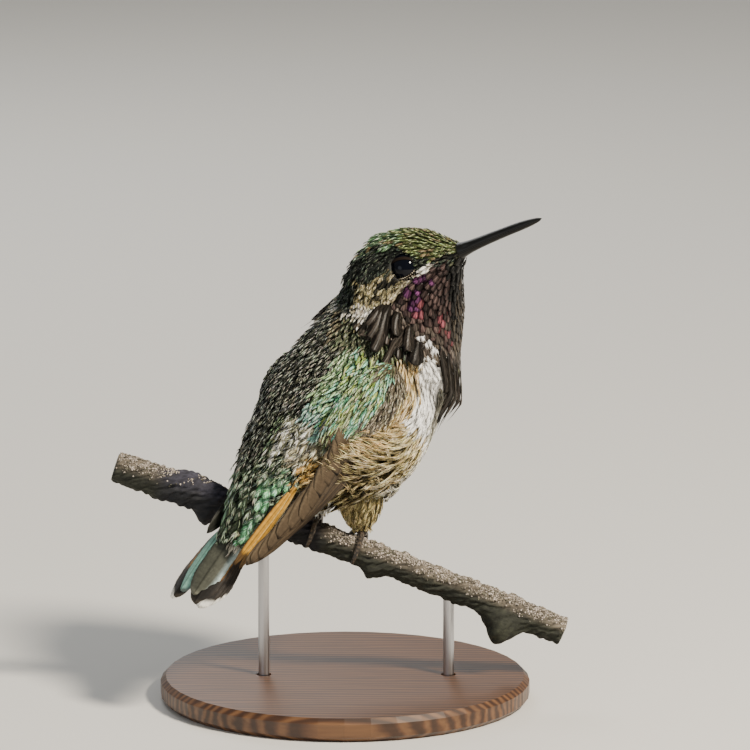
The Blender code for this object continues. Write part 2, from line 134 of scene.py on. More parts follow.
class Surface:
    """A form read as a surface over two numbers, with directions along it."""

    step = (0.01, 0.5)

    def point(self, u: ndarray, v: ndarray, lift: ndarray) -> ndarray:
        """Gives points in metres, raised off the surface by lift in millimetres."""
        raise NotImplementedError

    def tangents(self, u: ndarray, v: ndarray) -> tuple[ndarray, ndarray, ndarray]:
        """Measures how the surface runs.

        Args:
            u: first place numbers.
            v: second place numbers.

        Returns:
            Its run per unit of u, its run per unit of v, and its outward direction.
        """
        du, dv = self.step
        nil = np.zeros_like(u)
        pu = (self.point(u + du, v, nil) - self.point(u - du, v, nil)) / (2 * du)
        pv = (self.point(u, v + dv, nil) - self.point(u, v - dv, nil)) / (2 * dv)
        out = unit(self.point(u, v, nil + 1.0) - self.point(u, v, nil))
        return pu, pv, out

    def chart(self, u: ndarray, v: ndarray) -> ndarray:
        """Gives places on a flat unwrap of the surface, for its baked colours."""
        return np.stack([v / 360 + 0.5, u / 11 + 0.05], axis=-1)


class Body(Surface):
    """The head, neck and trunk. With swell, the throat stands out as its plumes do."""

    def __init__(self, swell: bool = True) -> None:
        """Keeps whether the throat's plumes are counted in the surface."""
        self.swell = swell

    @staticmethod
    def read(t: ndarray) -> ndarray:
        """Reads the table of cross-sections as a smooth curve.

        Args:
            t: places along the body.

        Returns:
            A row of the table for each place.
        """
        last = len(SECTIONS) - 1
        i = np.clip(np.floor(t).astype(int), 0, last - 1)
        s = (t - i)[..., None]
        p1, p2 = SECTIONS[i], SECTIONS[i + 1]
        p0 = np.where((i > 0)[..., None], SECTIONS[np.maximum(i - 1, 0)], 2 * p1 - p2)
        p3 = np.where((i + 2 <= last)[..., None], SECTIONS[np.minimum(i + 2, last)], 2 * p2 - p1)
        curve = p2 - p0 + s * (2 * p0 - 5 * p1 + 4 * p2 - p3 + s * (3 * (p1 - p2) + p3 - p0))
        return p1 + 0.5 * s * curve

    @staticmethod
    def axes(row: ndarray) -> tuple[ndarray, ndarray, ndarray]:
        """Gives the forward, right and up directions of rows of the table.

        Args:
            row: rows of the table, which hold pitch, heading and roll in degrees.

        Returns:
            Three arrays of unit vectors.
        """
        p, h, r = (np.radians(row[..., k]) for k in (3, 4, 5))
        forward = np.stack([np.cos(p) * np.cos(h), np.cos(p) * np.sin(h), np.sin(p)], axis=-1)
        level = unit(np.cross(forward, np.array([0.0, 0.0, 1.0])))
        raised = np.cross(level, forward)
        c, s = np.cos(r)[..., None], np.sin(r)[..., None]
        return forward, level * c - raised * s, level * s + raised * c

    def point(self, u: ndarray, v: ndarray, lift: ndarray) -> ndarray:
        """Gives points of the body.

        Args:
            u: places along it, as t.
            v: angles round it.
            lift: how far they are raised, in millimetres.

        Returns:
            The points in metres.
        """
        t, a = np.asarray(u, dtype=float), np.radians(v)
        row = self.read(t)
        _, right, up = self.axes(row)
        s, c = np.sin(a)[..., None], np.cos(a)[..., None]
        w = np.maximum(row[..., 6:7], 0.2)
        h = np.maximum(np.where(c > 0, row[..., 7:8], row[..., 8:9]), 0.2)
        out = unit(right * (s / w) + up * (c / h))
        rise = np.clip((t - GORGET_SPAN[0]) / GORGET_RISE[0], 0, 1)
        rise = rise * np.clip((GORGET_SPAN[1] - t) / GORGET_RISE[1], 0, 1)
        full = GORGET_SWELL * rise * np.maximum(0, -np.cos(a)) ** 1.5
        if not self.swell:
            full = full * ease((t - 4.45) / 0.6)
        place = row[..., :3] + TWIG_TOP
        return MM * (place + right * (w * s) + up * (h * c) + out * (lift + full)[..., None])


def twig_centre(x: ndarray) -> ndarray:
    """Gives the twig's centre line, in millimetres, at places along X."""
    x = np.asarray(x, dtype=float)
    return np.stack([x, 0 * x, PERCH_TOP - 2.0 - 0.378 * x - 0.0008 * x * x], axis=-1)


# Swellings of the twig: place along it, height, direction round it, and length.
KNOTS = (
    (-28.5, 0.3, 10, 3.0),
    (-20.6, 0.95, 5, 3.1),
    (-24.8, 0.45, 182, 4.2),
    (-17.9, 1.7, 178, 1.5),
    (4.1, 1.1, 165, 1.2),
    (22.0, 3.4, 162, 2.0),
)
TWIG_ENDS = (-31.0, 29.5)
TWIG_RADIUS = 1.9


class Twig(Surface):
    """The cut twig, over (place along X, angle from its top towards its front)."""

    step = (0.05, 0.5)

    def point(self, u: ndarray, v: ndarray, lift: ndarray) -> ndarray:
        """Gives points of the bark.

        Args:
            u: places along X.
            v: angles round the twig.
            lift: how far they are raised, in millimetres.

        Returns:
            The points in metres.
        """
        x, a = np.asarray(u, dtype=float), np.radians(v)
        radius = TWIG_RADIUS + 0.06 * np.sin(1.7 * x) + 0.05 * np.sin(3 * a + 0.4 * x)
        for place, height, facing, length in KNOTS:
            towards = np.maximum(0, np.cos(a - math.radians(facing))) ** 3
            radius = radius + height * np.exp(-(((x - place) / length) ** 2)) * towards
        slope = unit(twig_centre(x + 0.1) - twig_centre(x - 0.1))
        front = np.array([0.0, -1.0, 0.0])
        up = np.cross(front, slope)
        up = np.where(up[..., 2:3] < 0, -up, up)
        reach = (radius + lift)[..., None]
        return MM * (twig_centre(x) + (up * np.cos(a)[..., None] + front * np.sin(a)[..., None]) * reach)

    def chart(self, u: ndarray, v: ndarray) -> ndarray:
        """Gives places on the twig's unwrap."""
        return np.stack([(u + 32) / 63, (v % 360) / 360], axis=-1)


class Thigh(Surface):
    """A feathered thigh, over (0 at the ankle to 1 in the belly, angle round it)."""

    step = (0.01, 0.5)
    shin = 1.05

    def __init__(self, foot: float, hip: tuple[float, float, float], width: float) -> None:
        """Places the thigh between a foot on the twig and a hip inside the belly.

        Args:
            foot: where the foot stands, along X.
            hip: the hip's place from the top of the twig.
            width: the thigh's radius where it is widest.
        """
        slope = unit(twig_centre(foot + 0.1) - twig_centre(foot - 0.1))
        up = np.cross(np.array([0.0, -1.0, 0.0]), slope)
        up = up if up[2] > 0 else -up
        on = Twig().point(np.array(foot), np.array(0.0), np.array(0.86)) / MM
        self.ankle = on
        self.line = np.array(hip) + TWIG_TOP - on
        self.along = unit(self.line)
        self.side = unit(np.cross(self.along, np.array([0.0, 1.0, 0.0])))
        self.other = np.cross(self.along, self.side)
        self.width = width

    def point(self, u: ndarray, v: ndarray, lift: ndarray) -> ndarray:
        """Gives points of the thigh.

        Args:
            u: places along it.
            v: angles round it.
            lift: how far they are raised, in millimetres.

        Returns:
            The points in metres.
        """
        s, a = np.asarray(u, dtype=float), np.radians(v)
        dome = np.sqrt(np.clip(1 - (np.maximum(0, s - 0.78) / 0.34) ** 2, 0.01, 1))
        radius = (self.shin + (self.width - self.shin) * np.maximum(s, 0.0) ** 0.6) * dome + lift * dome
        around = self.side * np.cos(a)[..., None] + self.other * np.sin(a)[..., None]
        return MM * (self.ankle + self.line * (0.08 + 0.92 * s)[..., None] + around * radius[..., None])

    def chart(self, u: ndarray, v: ndarray) -> ndarray:
        """Gives places beside the body's unwrap."""
        return np.stack([(v % 360) / 360 * 0.2 + 0.4, u * 0.04 + 0.005], axis=-1)


THIGHS = (Thigh(1.3, (1.9, 0.7, 6.4), 3.7), Thigh(-4.8, (-3.4, 1.4, 7.8), 2.9))


# Colours of the plumage.


@dataclass(frozen=True)
class Marking:
    """A patch of plumage: its middle, half extent, dark, light and streak colours, gloss and softness."""

    t: float
    angle: float
    half_t: float
    half_angle: float
    dark: str
    light: str
    streak: str
    gloss: float = 0.0
    soft: float = 0.35


# Each marking lies over those before it. Angles count the same on both sides of the bird.
MARKINGS = (
    Marking(2.5, 90, 9.0, 200, "33362a", "6c6e58", "b2b096", 0.1),
    # The dark middle of the back is partly its own colour and partly painted shade, where its glossy feathers
    # catch no light.
    Marking(3.2, 0, 2.6, 31, "1b1d18", "484b40", "c8c9bc", 0.1),
    Marking(4.6, 14, 0.25, 16, "3c382c", "776f58", "c9bd9b", 0.0),
    # The dark middle of the rump, likewise partly its own colour and partly painted shade.
    Marking(1.75, 0, 0.6, 24, "10130e", "30362a", "a5bd98", 0.15),
    Marking(3.55, 55, 1.05, 24, "5f7f58", "b4d2a2", "ecfadd", 0.25),
    Marking(2.95, 84, 0.42, 14, "6f8056", "b6c494", "eef4d2", 0.2),
    Marking(2.45, 44, 0.14, 11, "69988c", "b4d8cb", "e8f8f1", 0.25, 0.5),
    Marking(4.5, 88, 0.42, 17, "454c34", "8d9370", "d0d4b0", 0.2),
    Marking(4.75, 40, 0.35, 22, "35392c", "666b54", "adb094", 0.15),
    Marking(3.75, 96, 0.62, 7, "4f483b", "8f8674", "cdc6b4"),
    Marking(3.1, 126, 1.75, 27, "7f6c3e", "d3c390", "f6edcf", 0.0, 0.25),
    Marking(3.6, 108, 0.9, 6, "8a7040", "d8c08c", "fbeac0", 0.0, 0.3),
    Marking(1.6, 128, 0.65, 34, "4b4128", "93845a", "dccb9c"),
    Marking(3.75, 178, 1.05, 23, "a09a80", "e6e1ce", "fffdf5"),
    Marking(5.3, 133, 1.15, 19, "f4f3ef", "fdfdfb", "ffffff", 0.0, 0.2),
    Marking(4.75, 107, 0.5, 6, "8c7546", "d8bd88", "f6ebcc", 0.0, 0.3),
    Marking(4.9, 165, 0.6, 20, "8d8a76", "d9d6c8", "f0eee4"),
    Marking(2.0, 33, 0.24, 12, "55563f", "b0b096", "ffffff", 0.0, 0.6),
    Marking(1.88, 62, 0.24, 14, "6d6547", "cfc8aa", "fffdf2", 0.0, 0.5),
    Marking(1.55, 92, 0.35, 9, "8a6830", "dab062", "fbe6ae", 0.0, 0.5),
    Marking(0.55, 20, 1.05, 60, "191f16", "525f49", "dcecce", 0.18),
    Marking(1.1, 56, 0.22, 14, "4a664a", "93b294", "e8f8e0", 0.22, 0.6),
    Marking(0.3, 150, 1.0, 50, "8a876f", "ddd6c2", "f2eee2"),
    Marking(7.4, 40, 2.2, 62, "0c0f0c", "272d27", "6c7667", 0.12, 0.3),
)
# Lines of (t, angle) that markings follow, on both sides of the bird.
MOUSTACHE = (
    (10.2, 124), (9.6, 114), (9.0, 94), (8.35, 92), (7.85, 96),
    (7.15, 96), (6.4, 88), (5.8, 72), (5.3, 48), (5.1, 36),
)
CHEEK = ((6.75, 84), (6.2, 66), (5.7, 52), (5.35, 34))
COLLAR = ((5.25, 42), (5.02, 18), (4.87, 4))
EYE_STRIPE = ((6.4, 64), (6.95, 84))
LORES = ((9.0, 81), (9.9, 92))
# The line of the bill's painted shadow down the front of the throat.
BILL_SHADOW = ((9.95, 136), (9.55, 147), (8.8, 157), (7.95, 161))
CROWN_EDGE = ((6.2, 0), (6.95, 22), (7.6, 46), (8.25, 70), (8.6, 82), (9.2, 80), (10.0, 70))
# How many degrees round the body count as one section along it, where markings fade out.
DEGREES_PER_SECTION = 26
# How far down the body the throat patch reaches, as (angle, t).
THROAT_FOOT = (
    (30, 5.1), (60, 5.15), (90, 5.3), (104, 5.4), (112, 5.5), (124, 5.8),
    (132, 6.0), (140, 6.05), (150, 5.75), (165, 5.35), (180, 5.2),
)


def throat_edge(t: ndarray) -> ndarray:
    """Gives the angle at which the throat patch begins, for places along the body."""
    line = np.array(MOUSTACHE[::-1], dtype=float)
    return np.interp(t, line[:, 0], line[:, 1])


def throat_foot(a: ndarray) -> ndarray:
    """Gives how far down the body the throat patch reaches, for angles round it."""
    return np.interp(np.abs(a), *np.array(THROAT_FOOT).T)


def near_line(line: tuple, t: ndarray, a: ndarray) -> ndarray:
    """Measures how far places are from a line, in degrees of angle or sixteenths of a section.

    Args:
        line: the line's points, as (t, angle).
        t: places along the body.
        a: angles round it, either side.

    Returns:
        The distances.
    """
    table = np.array(line, dtype=float)
    reach = np.full(np.shape(t), 1e9)
    for (t0, a0), (t1, a1) in zip(table, table[1:]):
        x, y, dx, dy = (t - t0) * 16, np.abs(a) - a0, (t1 - t0) * 16, a1 - a0
        s = np.clip((x * dx + y * dy) / (dx * dx + dy * dy), 0, 1)
        reach = np.minimum(reach, np.hypot(x - s * dx, y - s * dy))
    return reach


@dataclass
class Tones:
    """The colours of many feathers: each one's own, its streaks', and its gloss."""

    colour: ndarray
    streak: ndarray
    gloss: ndarray

    def lay(self, where: ndarray, colour: ndarray, streak: str, gloss: float) -> None:
        """Puts other colours on some of the feathers.

        Args:
            where: which feathers.
            colour: their own colours.
            streak: the colour of their streaks.
            gloss: their gloss, from 0 to 1.
        """
        self.colour = np.where(where[..., None], colour, self.colour)
        self.streak = np.where(where[..., None], tone(streak), self.streak)
        self.gloss = np.where(where, gloss, self.gloss)

    def pick(self, keep: ndarray) -> "Tones":
        """Gives the colours of only some feathers."""
        return Tones(self.colour[keep], self.streak[keep], self.gloss[keep])


def blend(dark: str, light: str, mix: ndarray) -> ndarray:
    """Mixes two named colours by amounts from 0 to 1."""
    return tone(dark) * (1 - mix) + tone(light) * mix


def plumage(t: ndarray, a: ndarray, rng: Generator) -> Tones:
    """Chooses colours for feathers outside the throat patch.

    Args:
        t: places along the body.
        a: angles round it.
        rng: the source of their variation.

    Returns:
        The feathers' colours.
    """
    side = np.abs(a)
    mix = np.clip(rng.normal(0.5, 0.27, t.shape), 0, 1)[..., None]
    rough = rng.uniform(-1, 1, t.shape)
    tones = Tones(np.zeros(t.shape + (3,)), np.zeros(t.shape + (3,)), np.zeros(t.shape))
    for mark in MARKINGS:
        low, high = mark.angle - mark.half_angle, mark.angle + mark.half_angle
        inside = window(t, mark.t - mark.half_t, mark.t + mark.half_t, mark.soft)
        inside = inside * window(side, low, high, mark.soft * DEGREES_PER_SECTION)
        pick = inside + rng.uniform(-0.3, 0.3, t.shape) > 0.5
        tones.lay(pick, blend(mark.dark, mark.light, mix), mark.streak, mark.gloss)
    # Painted iridescent highlights: random mint and yellow-green glints over the green patch of the back.
    sheen = window(t, 2.6, 4.35, 0.15) * window(side, 40, 85, 4) * rng.random(t.shape)
    tones.lay(sheen > 0.7, blend("579a78", "aef0cf", mix), "f0fff8", 0.3)
    tones.lay((sheen > 0.5) & (sheen < 0.66), blend("75913f", "d4e68a", mix), "faffd6", 0.25)
    # Bright emerald on the right of the rump: the coverts' own green with painted iridescent glints, on the
    # lit side only.
    emerald = window(t, 0.05, 1.35, 0.2) * window(a, 22, 84, 8) * rng.random(t.shape) > 0.5
    tones.lay(emerald, blend("356b45", "98dca6", mix), "e2ffe8", 0.3)
    # Painted shade on the bird's left side of the back and rump, which lies away from the light.
    left_side_shade = window(a, -76, 0, 6) * window(t, 1.6, 4.7, 0.3) + 0.3 * rough > 0.5
    tones.lay(left_side_shade, blend("191b16", "45483d", mix), "b9bcad", 0.1)
    crown = (side < np.interp(t, *np.array(CROWN_EDGE).T) + 5 * rough) & (t > 6.3)
    tones.lay(crown, blend("1d2110", "72804a", mix), "e2ecb0", 0.15)
    tones.lay(crown & (t < 7.6 + 0.3 * rough) & (side < 40), blend("2c4030", "7b9a70", mix), "dcf2cc", 0.22)
    tones.lay(crown & (rng.random(t.shape) < 0.14), blend("3a3020", "7c6d4c", mix), "cbbd92", 0.1)
    cheek = near_line(CHEEK, t, a) < 9.5 + 3 * rough
    tones.lay(cheek, blend("5c5438", "b5aa82", mix), "efe7c9", 0.0)
    tones.lay(cheek & (rng.random(t.shape) < 0.25), blend("1d1b12", "48422c", mix), "a89d76", 0.0)
    tones.lay(near_line(LORES, t, a) < 3.0, blend("070706", "17160f", mix), "2c2a20", 0.0)
    tones.lay(near_line(EYE_STRIPE, t, a) < 2.4, blend("0a0a08", "1c1b14", mix), "4a4636", 0.0)
    wide = 2.6 - 1.2 * ease((t - 8.7) / 0.4) + 5.0 * bell(t, 5.3, 0.28) + 1.6 * bell(t, 8.4, 0.4)
    pale = ease(1.5 - near_line(MOUSTACHE, t, a) / wide) + 0.2 * rough > 0.55
    tones.lay(pale, blend("8c8064", "d8cdb0", mix), "f4eedc", 0.0)
    tones.lay(pale & ((np.abs(t - 8.15) < 0.45) | (t < 5.9)), blend("cfc6b2", "faf7f0", mix), "ffffff", 0.0)
    tones.lay(near_line(COLLAR, t, a) < 1.7 + 0.6 * rough, blend("b9b09a", "efece2", mix), "ffffff", 0.0)
    return tones


def throat(t: ndarray, a: ndarray, rng: Generator) -> Tones:
    """Chooses colours for feathers of the throat patch.

    Args:
        t: places along the body.
        a: angles round it.
        rng: the source of their variation.

    Returns:
        The feathers' colours.
    """
    side = np.abs(a)
    mix = np.clip(rng.normal(0.45, 0.35, t.shape), 0, 1)[..., None]
    streaks = np.broadcast_to(tone("b8a79c"), t.shape + (3,))
    tones = Tones(blend("27211e", "6c6158", mix), streaks, np.full(t.shape, 0.12))
    mauve = window(t, 6.9, 9.2, 0.8) * window(side, 92, 150, 12) + rng.uniform(-0.5, 0.5, t.shape) > 0.5
    tones.lay(mauve, blend("2a1f1e", "63504c", mix), "b79e9c", 0.15)
    # Painted iridescent glints: violet and red flashes where the throat's feathers catch the light, in spots
    # on each side.
    violet = np.exp(-(((t - 7.45) / 0.8) ** 2) - (((side - 105) / 14) ** 2))
    red = np.exp(-(((t - 7.3) / 0.5) ** 2) - (((side - 147) / 12) ** 2))
    red = red + 0.8 * np.exp(-(((t - 7.2) / 0.3) ** 2) - (((side - 116) / 6) ** 2)) - 0.08
    for glints, dark, light, streak in (
        (violet, "42203c", "8a4f80", "d096c8"),
        (red, "5b3032", "a05a64", "dca0a8"),
    ):
        pick = glints + rng.uniform(-0.6, 0.6, t.shape) > 0.68
        tones.lay(pick, blend(dark, light, mix), streak, 0.4)
    front = window(side, 164, 190, 8) * window(t, 4.0, 8.9, 0.5) + rng.uniform(-0.3, 0.3, t.shape) > 0.5
    tones.lay(front, blend("26221d", "5a5145", mix), "8f8575", 0.1)
    low = (t < throat_foot(a) + 0.45) & (rng.random(t.shape) < 0.6)
    tones.lay(low, blend("2c2823", "5f564b", mix), "a0968a", 0.1)
    # Painted shadow of the bill: a near-black wedge down the throat from the bill's root.
    bill_shadow = near_line(BILL_SHADOW, t, a) < 5.0 + 28.0 * np.clip((t - 8.3) / 1.4, 0, 1)
    tones.lay(bill_shadow, blend("050504", "0f0e0a", mix), "14120e", 0.0)
    return tones


# Small feathers, made many at a time.


class Outline(Enum):
    """The half widths of a small feather at even stations from its root to its tip."""

    SCALE = (0.5, 0.82, 1.0, 1.02, 0.95, 0.66)
    OVAL = (0.4, 0.75, 0.95, 1.0, 0.8, 0.42)
    LANCE = (0.45, 0.8, 0.98, 0.9, 0.65, 0.3)
    PLUME = (0.3, 0.55, 0.75, 0.8, 0.7, 0.45)


@dataclass(frozen=True)
class Quill:
    """One kind of small feather.

    Its fringe is so many barbs that lie on the vane and reach past its edge by a share of its width. Streaks
    tells what share of them take the streak colour, and spread what share of its length a barb runs along.
    """

    outline: Outline
    thick: float = 0.04
    ridge: float = 0.04
    barbs: int = 12
    barb_width: float = 0.1
    reach: float = 0.25
    streaks: float = 0.35
    spread: float = 0.35
    loose: float = 0.04
    # How much darker the blade's edges are painted: painted shadow where feathers overlap.
    rim: float = 0.2


CROWN_SCALE = Quill(Outline.OVAL, 0.04, 0.07, 6, 0.085, 0.15)
FACE_FEATHER = Quill(Outline.OVAL, 0.03, 0.03, 8, 0.08, 0.35)
NAPE_SPIKE = Quill(Outline.LANCE, 0.04, 0.05, 6, 0.08, 0.4)
THROAT_SCALE = Quill(Outline.SCALE, 0.05, 0.045, 0, rim=0.5)
THROAT_PLUME = Quill(Outline.SCALE, 0.05, 0.02, 26, 0.06, -0.08, 0.16, 0.3, 0.02, 0.15)
BACK_FEATHER = Quill(Outline.LANCE, barbs=10, barb_width=0.085, reach=0.5, loose=0.06)
BREAST_FEATHER = Quill(Outline.PLUME, 0.03, 0.03, 12, 0.1, 0.7, 0.4, 0.5, 0.08)
TAIL_COVERT = Quill(Outline.OVAL, 0.05, 0.05, 30, 0.12, 0.2, 0.4, 0.3, 0.06)
RUMP_DOWN = Quill(Outline.PLUME, 0.03, 0.03, 24, 0.1, 0.7, 0.45, 0.4, 0.2)
THIGH_DOWN = Quill(Outline.PLUME, 0.03, 0.03, 14, 0.1, 0.8, 0.4, 0.45, 0.15)
BELLY_TUFT = Quill(Outline.PLUME, 0.03, 0.03, 22, 0.1, 0.8, 0.4, 0.4, 0.15)
WING_COVERT = Quill(Outline.LANCE, 0.04, 0.06, 9, 0.085, 0.4)


@dataclass
class Patch:
    """Where feathers grow, how large they are and how they lie: one array entry for each feather."""

    u: ndarray
    v: ndarray
    length: ndarray
    width: ndarray
    turn: ndarray
    low: ndarray
    high: ndarray
    tones: Tones
    bend: ndarray

    def pick(self, keep: ndarray) -> "Patch":
        """Gives the patch with only some of its feathers."""
        rest = (self.u, self.v, self.length, self.width, self.turn, self.low, self.high)
        return Patch(*(a[keep] for a in rest), self.tones.pick(keep), self.bend[keep])


@dataclass
class Flock:
    """Triangles of many feathers, gathered for one mesh."""

    points: list = field(default_factory=list)
    faces: list = field(default_factory=list)
    colours: list = field(default_factory=list)
    gloss: list = field(default_factory=list)
    vanes: list = field(default_factory=list)
    bakes: list = field(default_factory=list)
    count: int = 0

    def add(
        self, points: ndarray, faces: ndarray, colours: ndarray, gloss: ndarray,
        vanes: ndarray, bakes: ndarray,
    ) -> None:
        """Adds one batch of feathers that share one pattern of triangles.

        Args:
            points: their points, as (feathers, points, 3).
            faces: the triangles of one feather, as rows of three point numbers.
            colours: a colour for each point.
            gloss: a gloss for each point, or one for each feather.
            vanes: for each point its place across and along, which the lines of the barbs follow.
            bakes: for each point its place on the baked unwrap.
        """
        n, k = points.shape[:2]
        self.faces.append((faces[None] + (self.count + k * np.arange(n))[:, None, None]).reshape(-1, 3))
        self.points.append(points.reshape(-1, 3))
        self.colours.append(np.clip(colours, 0, 1).reshape(-1, 3))
        self.gloss.append(np.broadcast_to(gloss, (n, k)).reshape(-1))
        self.vanes.append(np.broadcast_to(vanes, (n, k, 2)).reshape(-1, 2))
        self.bakes.append(bakes.reshape(-1, 2))
        self.count += n * k

    def mesh(self, name: str, finish: Material) -> Object:
        """Makes one object of everything gathered.

        Args:
            name: the object's name.
            finish: its material.

        Returns:
            The new object, linked to the scene.
        """
        points, faces = np.concatenate(self.points), np.concatenate(self.faces)
        mesh = bpy.data.meshes.new(name)
        mesh.vertices.add(len(points))
        mesh.vertices.foreach_set("co", points.astype(np.float32).ravel())
        mesh.loops.add(faces.size)
        mesh.loops.foreach_set("vertex_index", faces.astype(np.int32).ravel())
        mesh.polygons.add(len(faces))
        mesh.polygons.foreach_set("loop_start", np.arange(0, faces.size, 3, dtype=np.int32))
        mesh.update(calc_edges=True)
        mesh.shade_smooth()
        paint(mesh, np.concatenate(self.colours), np.concatenate(self.gloss))
        for title, rows in (("OFBake", self.bakes), ("Vane", self.vanes)):
            layer = mesh.uv_layers.new(name=title)
            layer.data.foreach_set("uv", np.concatenate(rows)[faces.ravel()].astype(np.float32).ravel())
        mesh.materials.append(finish)
        made = enter(bpy.data.objects.new(name, mesh))
        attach(made, "root")
        LOG.info("%s: %d triangles", name, len(faces))
        return made


def enter(made: Object) -> Object:
    """Puts a new object in the scene, and gives it back."""
    bpy.context.scene.collection.objects.link(made)
    return made


def paint(mesh: Mesh, colours: ndarray, gloss: ndarray) -> None:
    """Writes a colour and a gloss at each point of a mesh.

    Args:
        mesh: the mesh.
        colours: its points' colours in linear light.
        gloss: its points' gloss, from 0 to 1.
    """
    tint = mesh.attributes.new("Tint", "FLOAT_COLOR", "POINT")
    full = np.concatenate([colours, np.ones((len(colours), 1))], axis=1)
    tint.data.foreach_set("color", full.astype(np.float32).ravel())
    sheen = mesh.attributes.new("Gloss", "FLOAT", "POINT")
    sheen.data.foreach_set("value", gloss.astype(np.float32))


def tube_faces(rows: int, sides: int, tip: bool = True) -> ndarray:
    """Gives the faces of a closed tube of rings, with a point at its end if it has a tip.

    Args:
        rows: how many rings there are.
        sides: points in each ring.
        tip: whether one more point follows the last ring.

    Returns:
        The triangles, as rows of three point numbers.
    """
    faces = []
    for j in range(rows - 1):
        for i in range(sides):
            a, b = j * sides + i, j * sides + (i + 1) % sides
            faces += [(a, b, b + sides), (a, b + sides, a + sides)]
    end = rows * sides
    last = (rows - 1) * sides
    faces += [(i + 1, i, 0) for i in range(1, sides - 1)]
    if tip:
        faces += [(last + i, last + (i + 1) % sides, end) for i in range(sides)]
    else:
        faces += [(last, last + i, last + i + 1) for i in range(1, sides - 1)]
    return np.array(faces)


def paleness(colour: ndarray) -> ndarray:
    """Tells how pale colours are, from 0 to 1. Pale feathers vary less from point to point."""
    return ease((colour.mean(axis=1) - 0.5) / 0.3)


# How much of the baked unwrap a small feather takes, and where its outline's last station lies.
BAKED_FEATHER = 0.003
LAST_STATION = 0.94


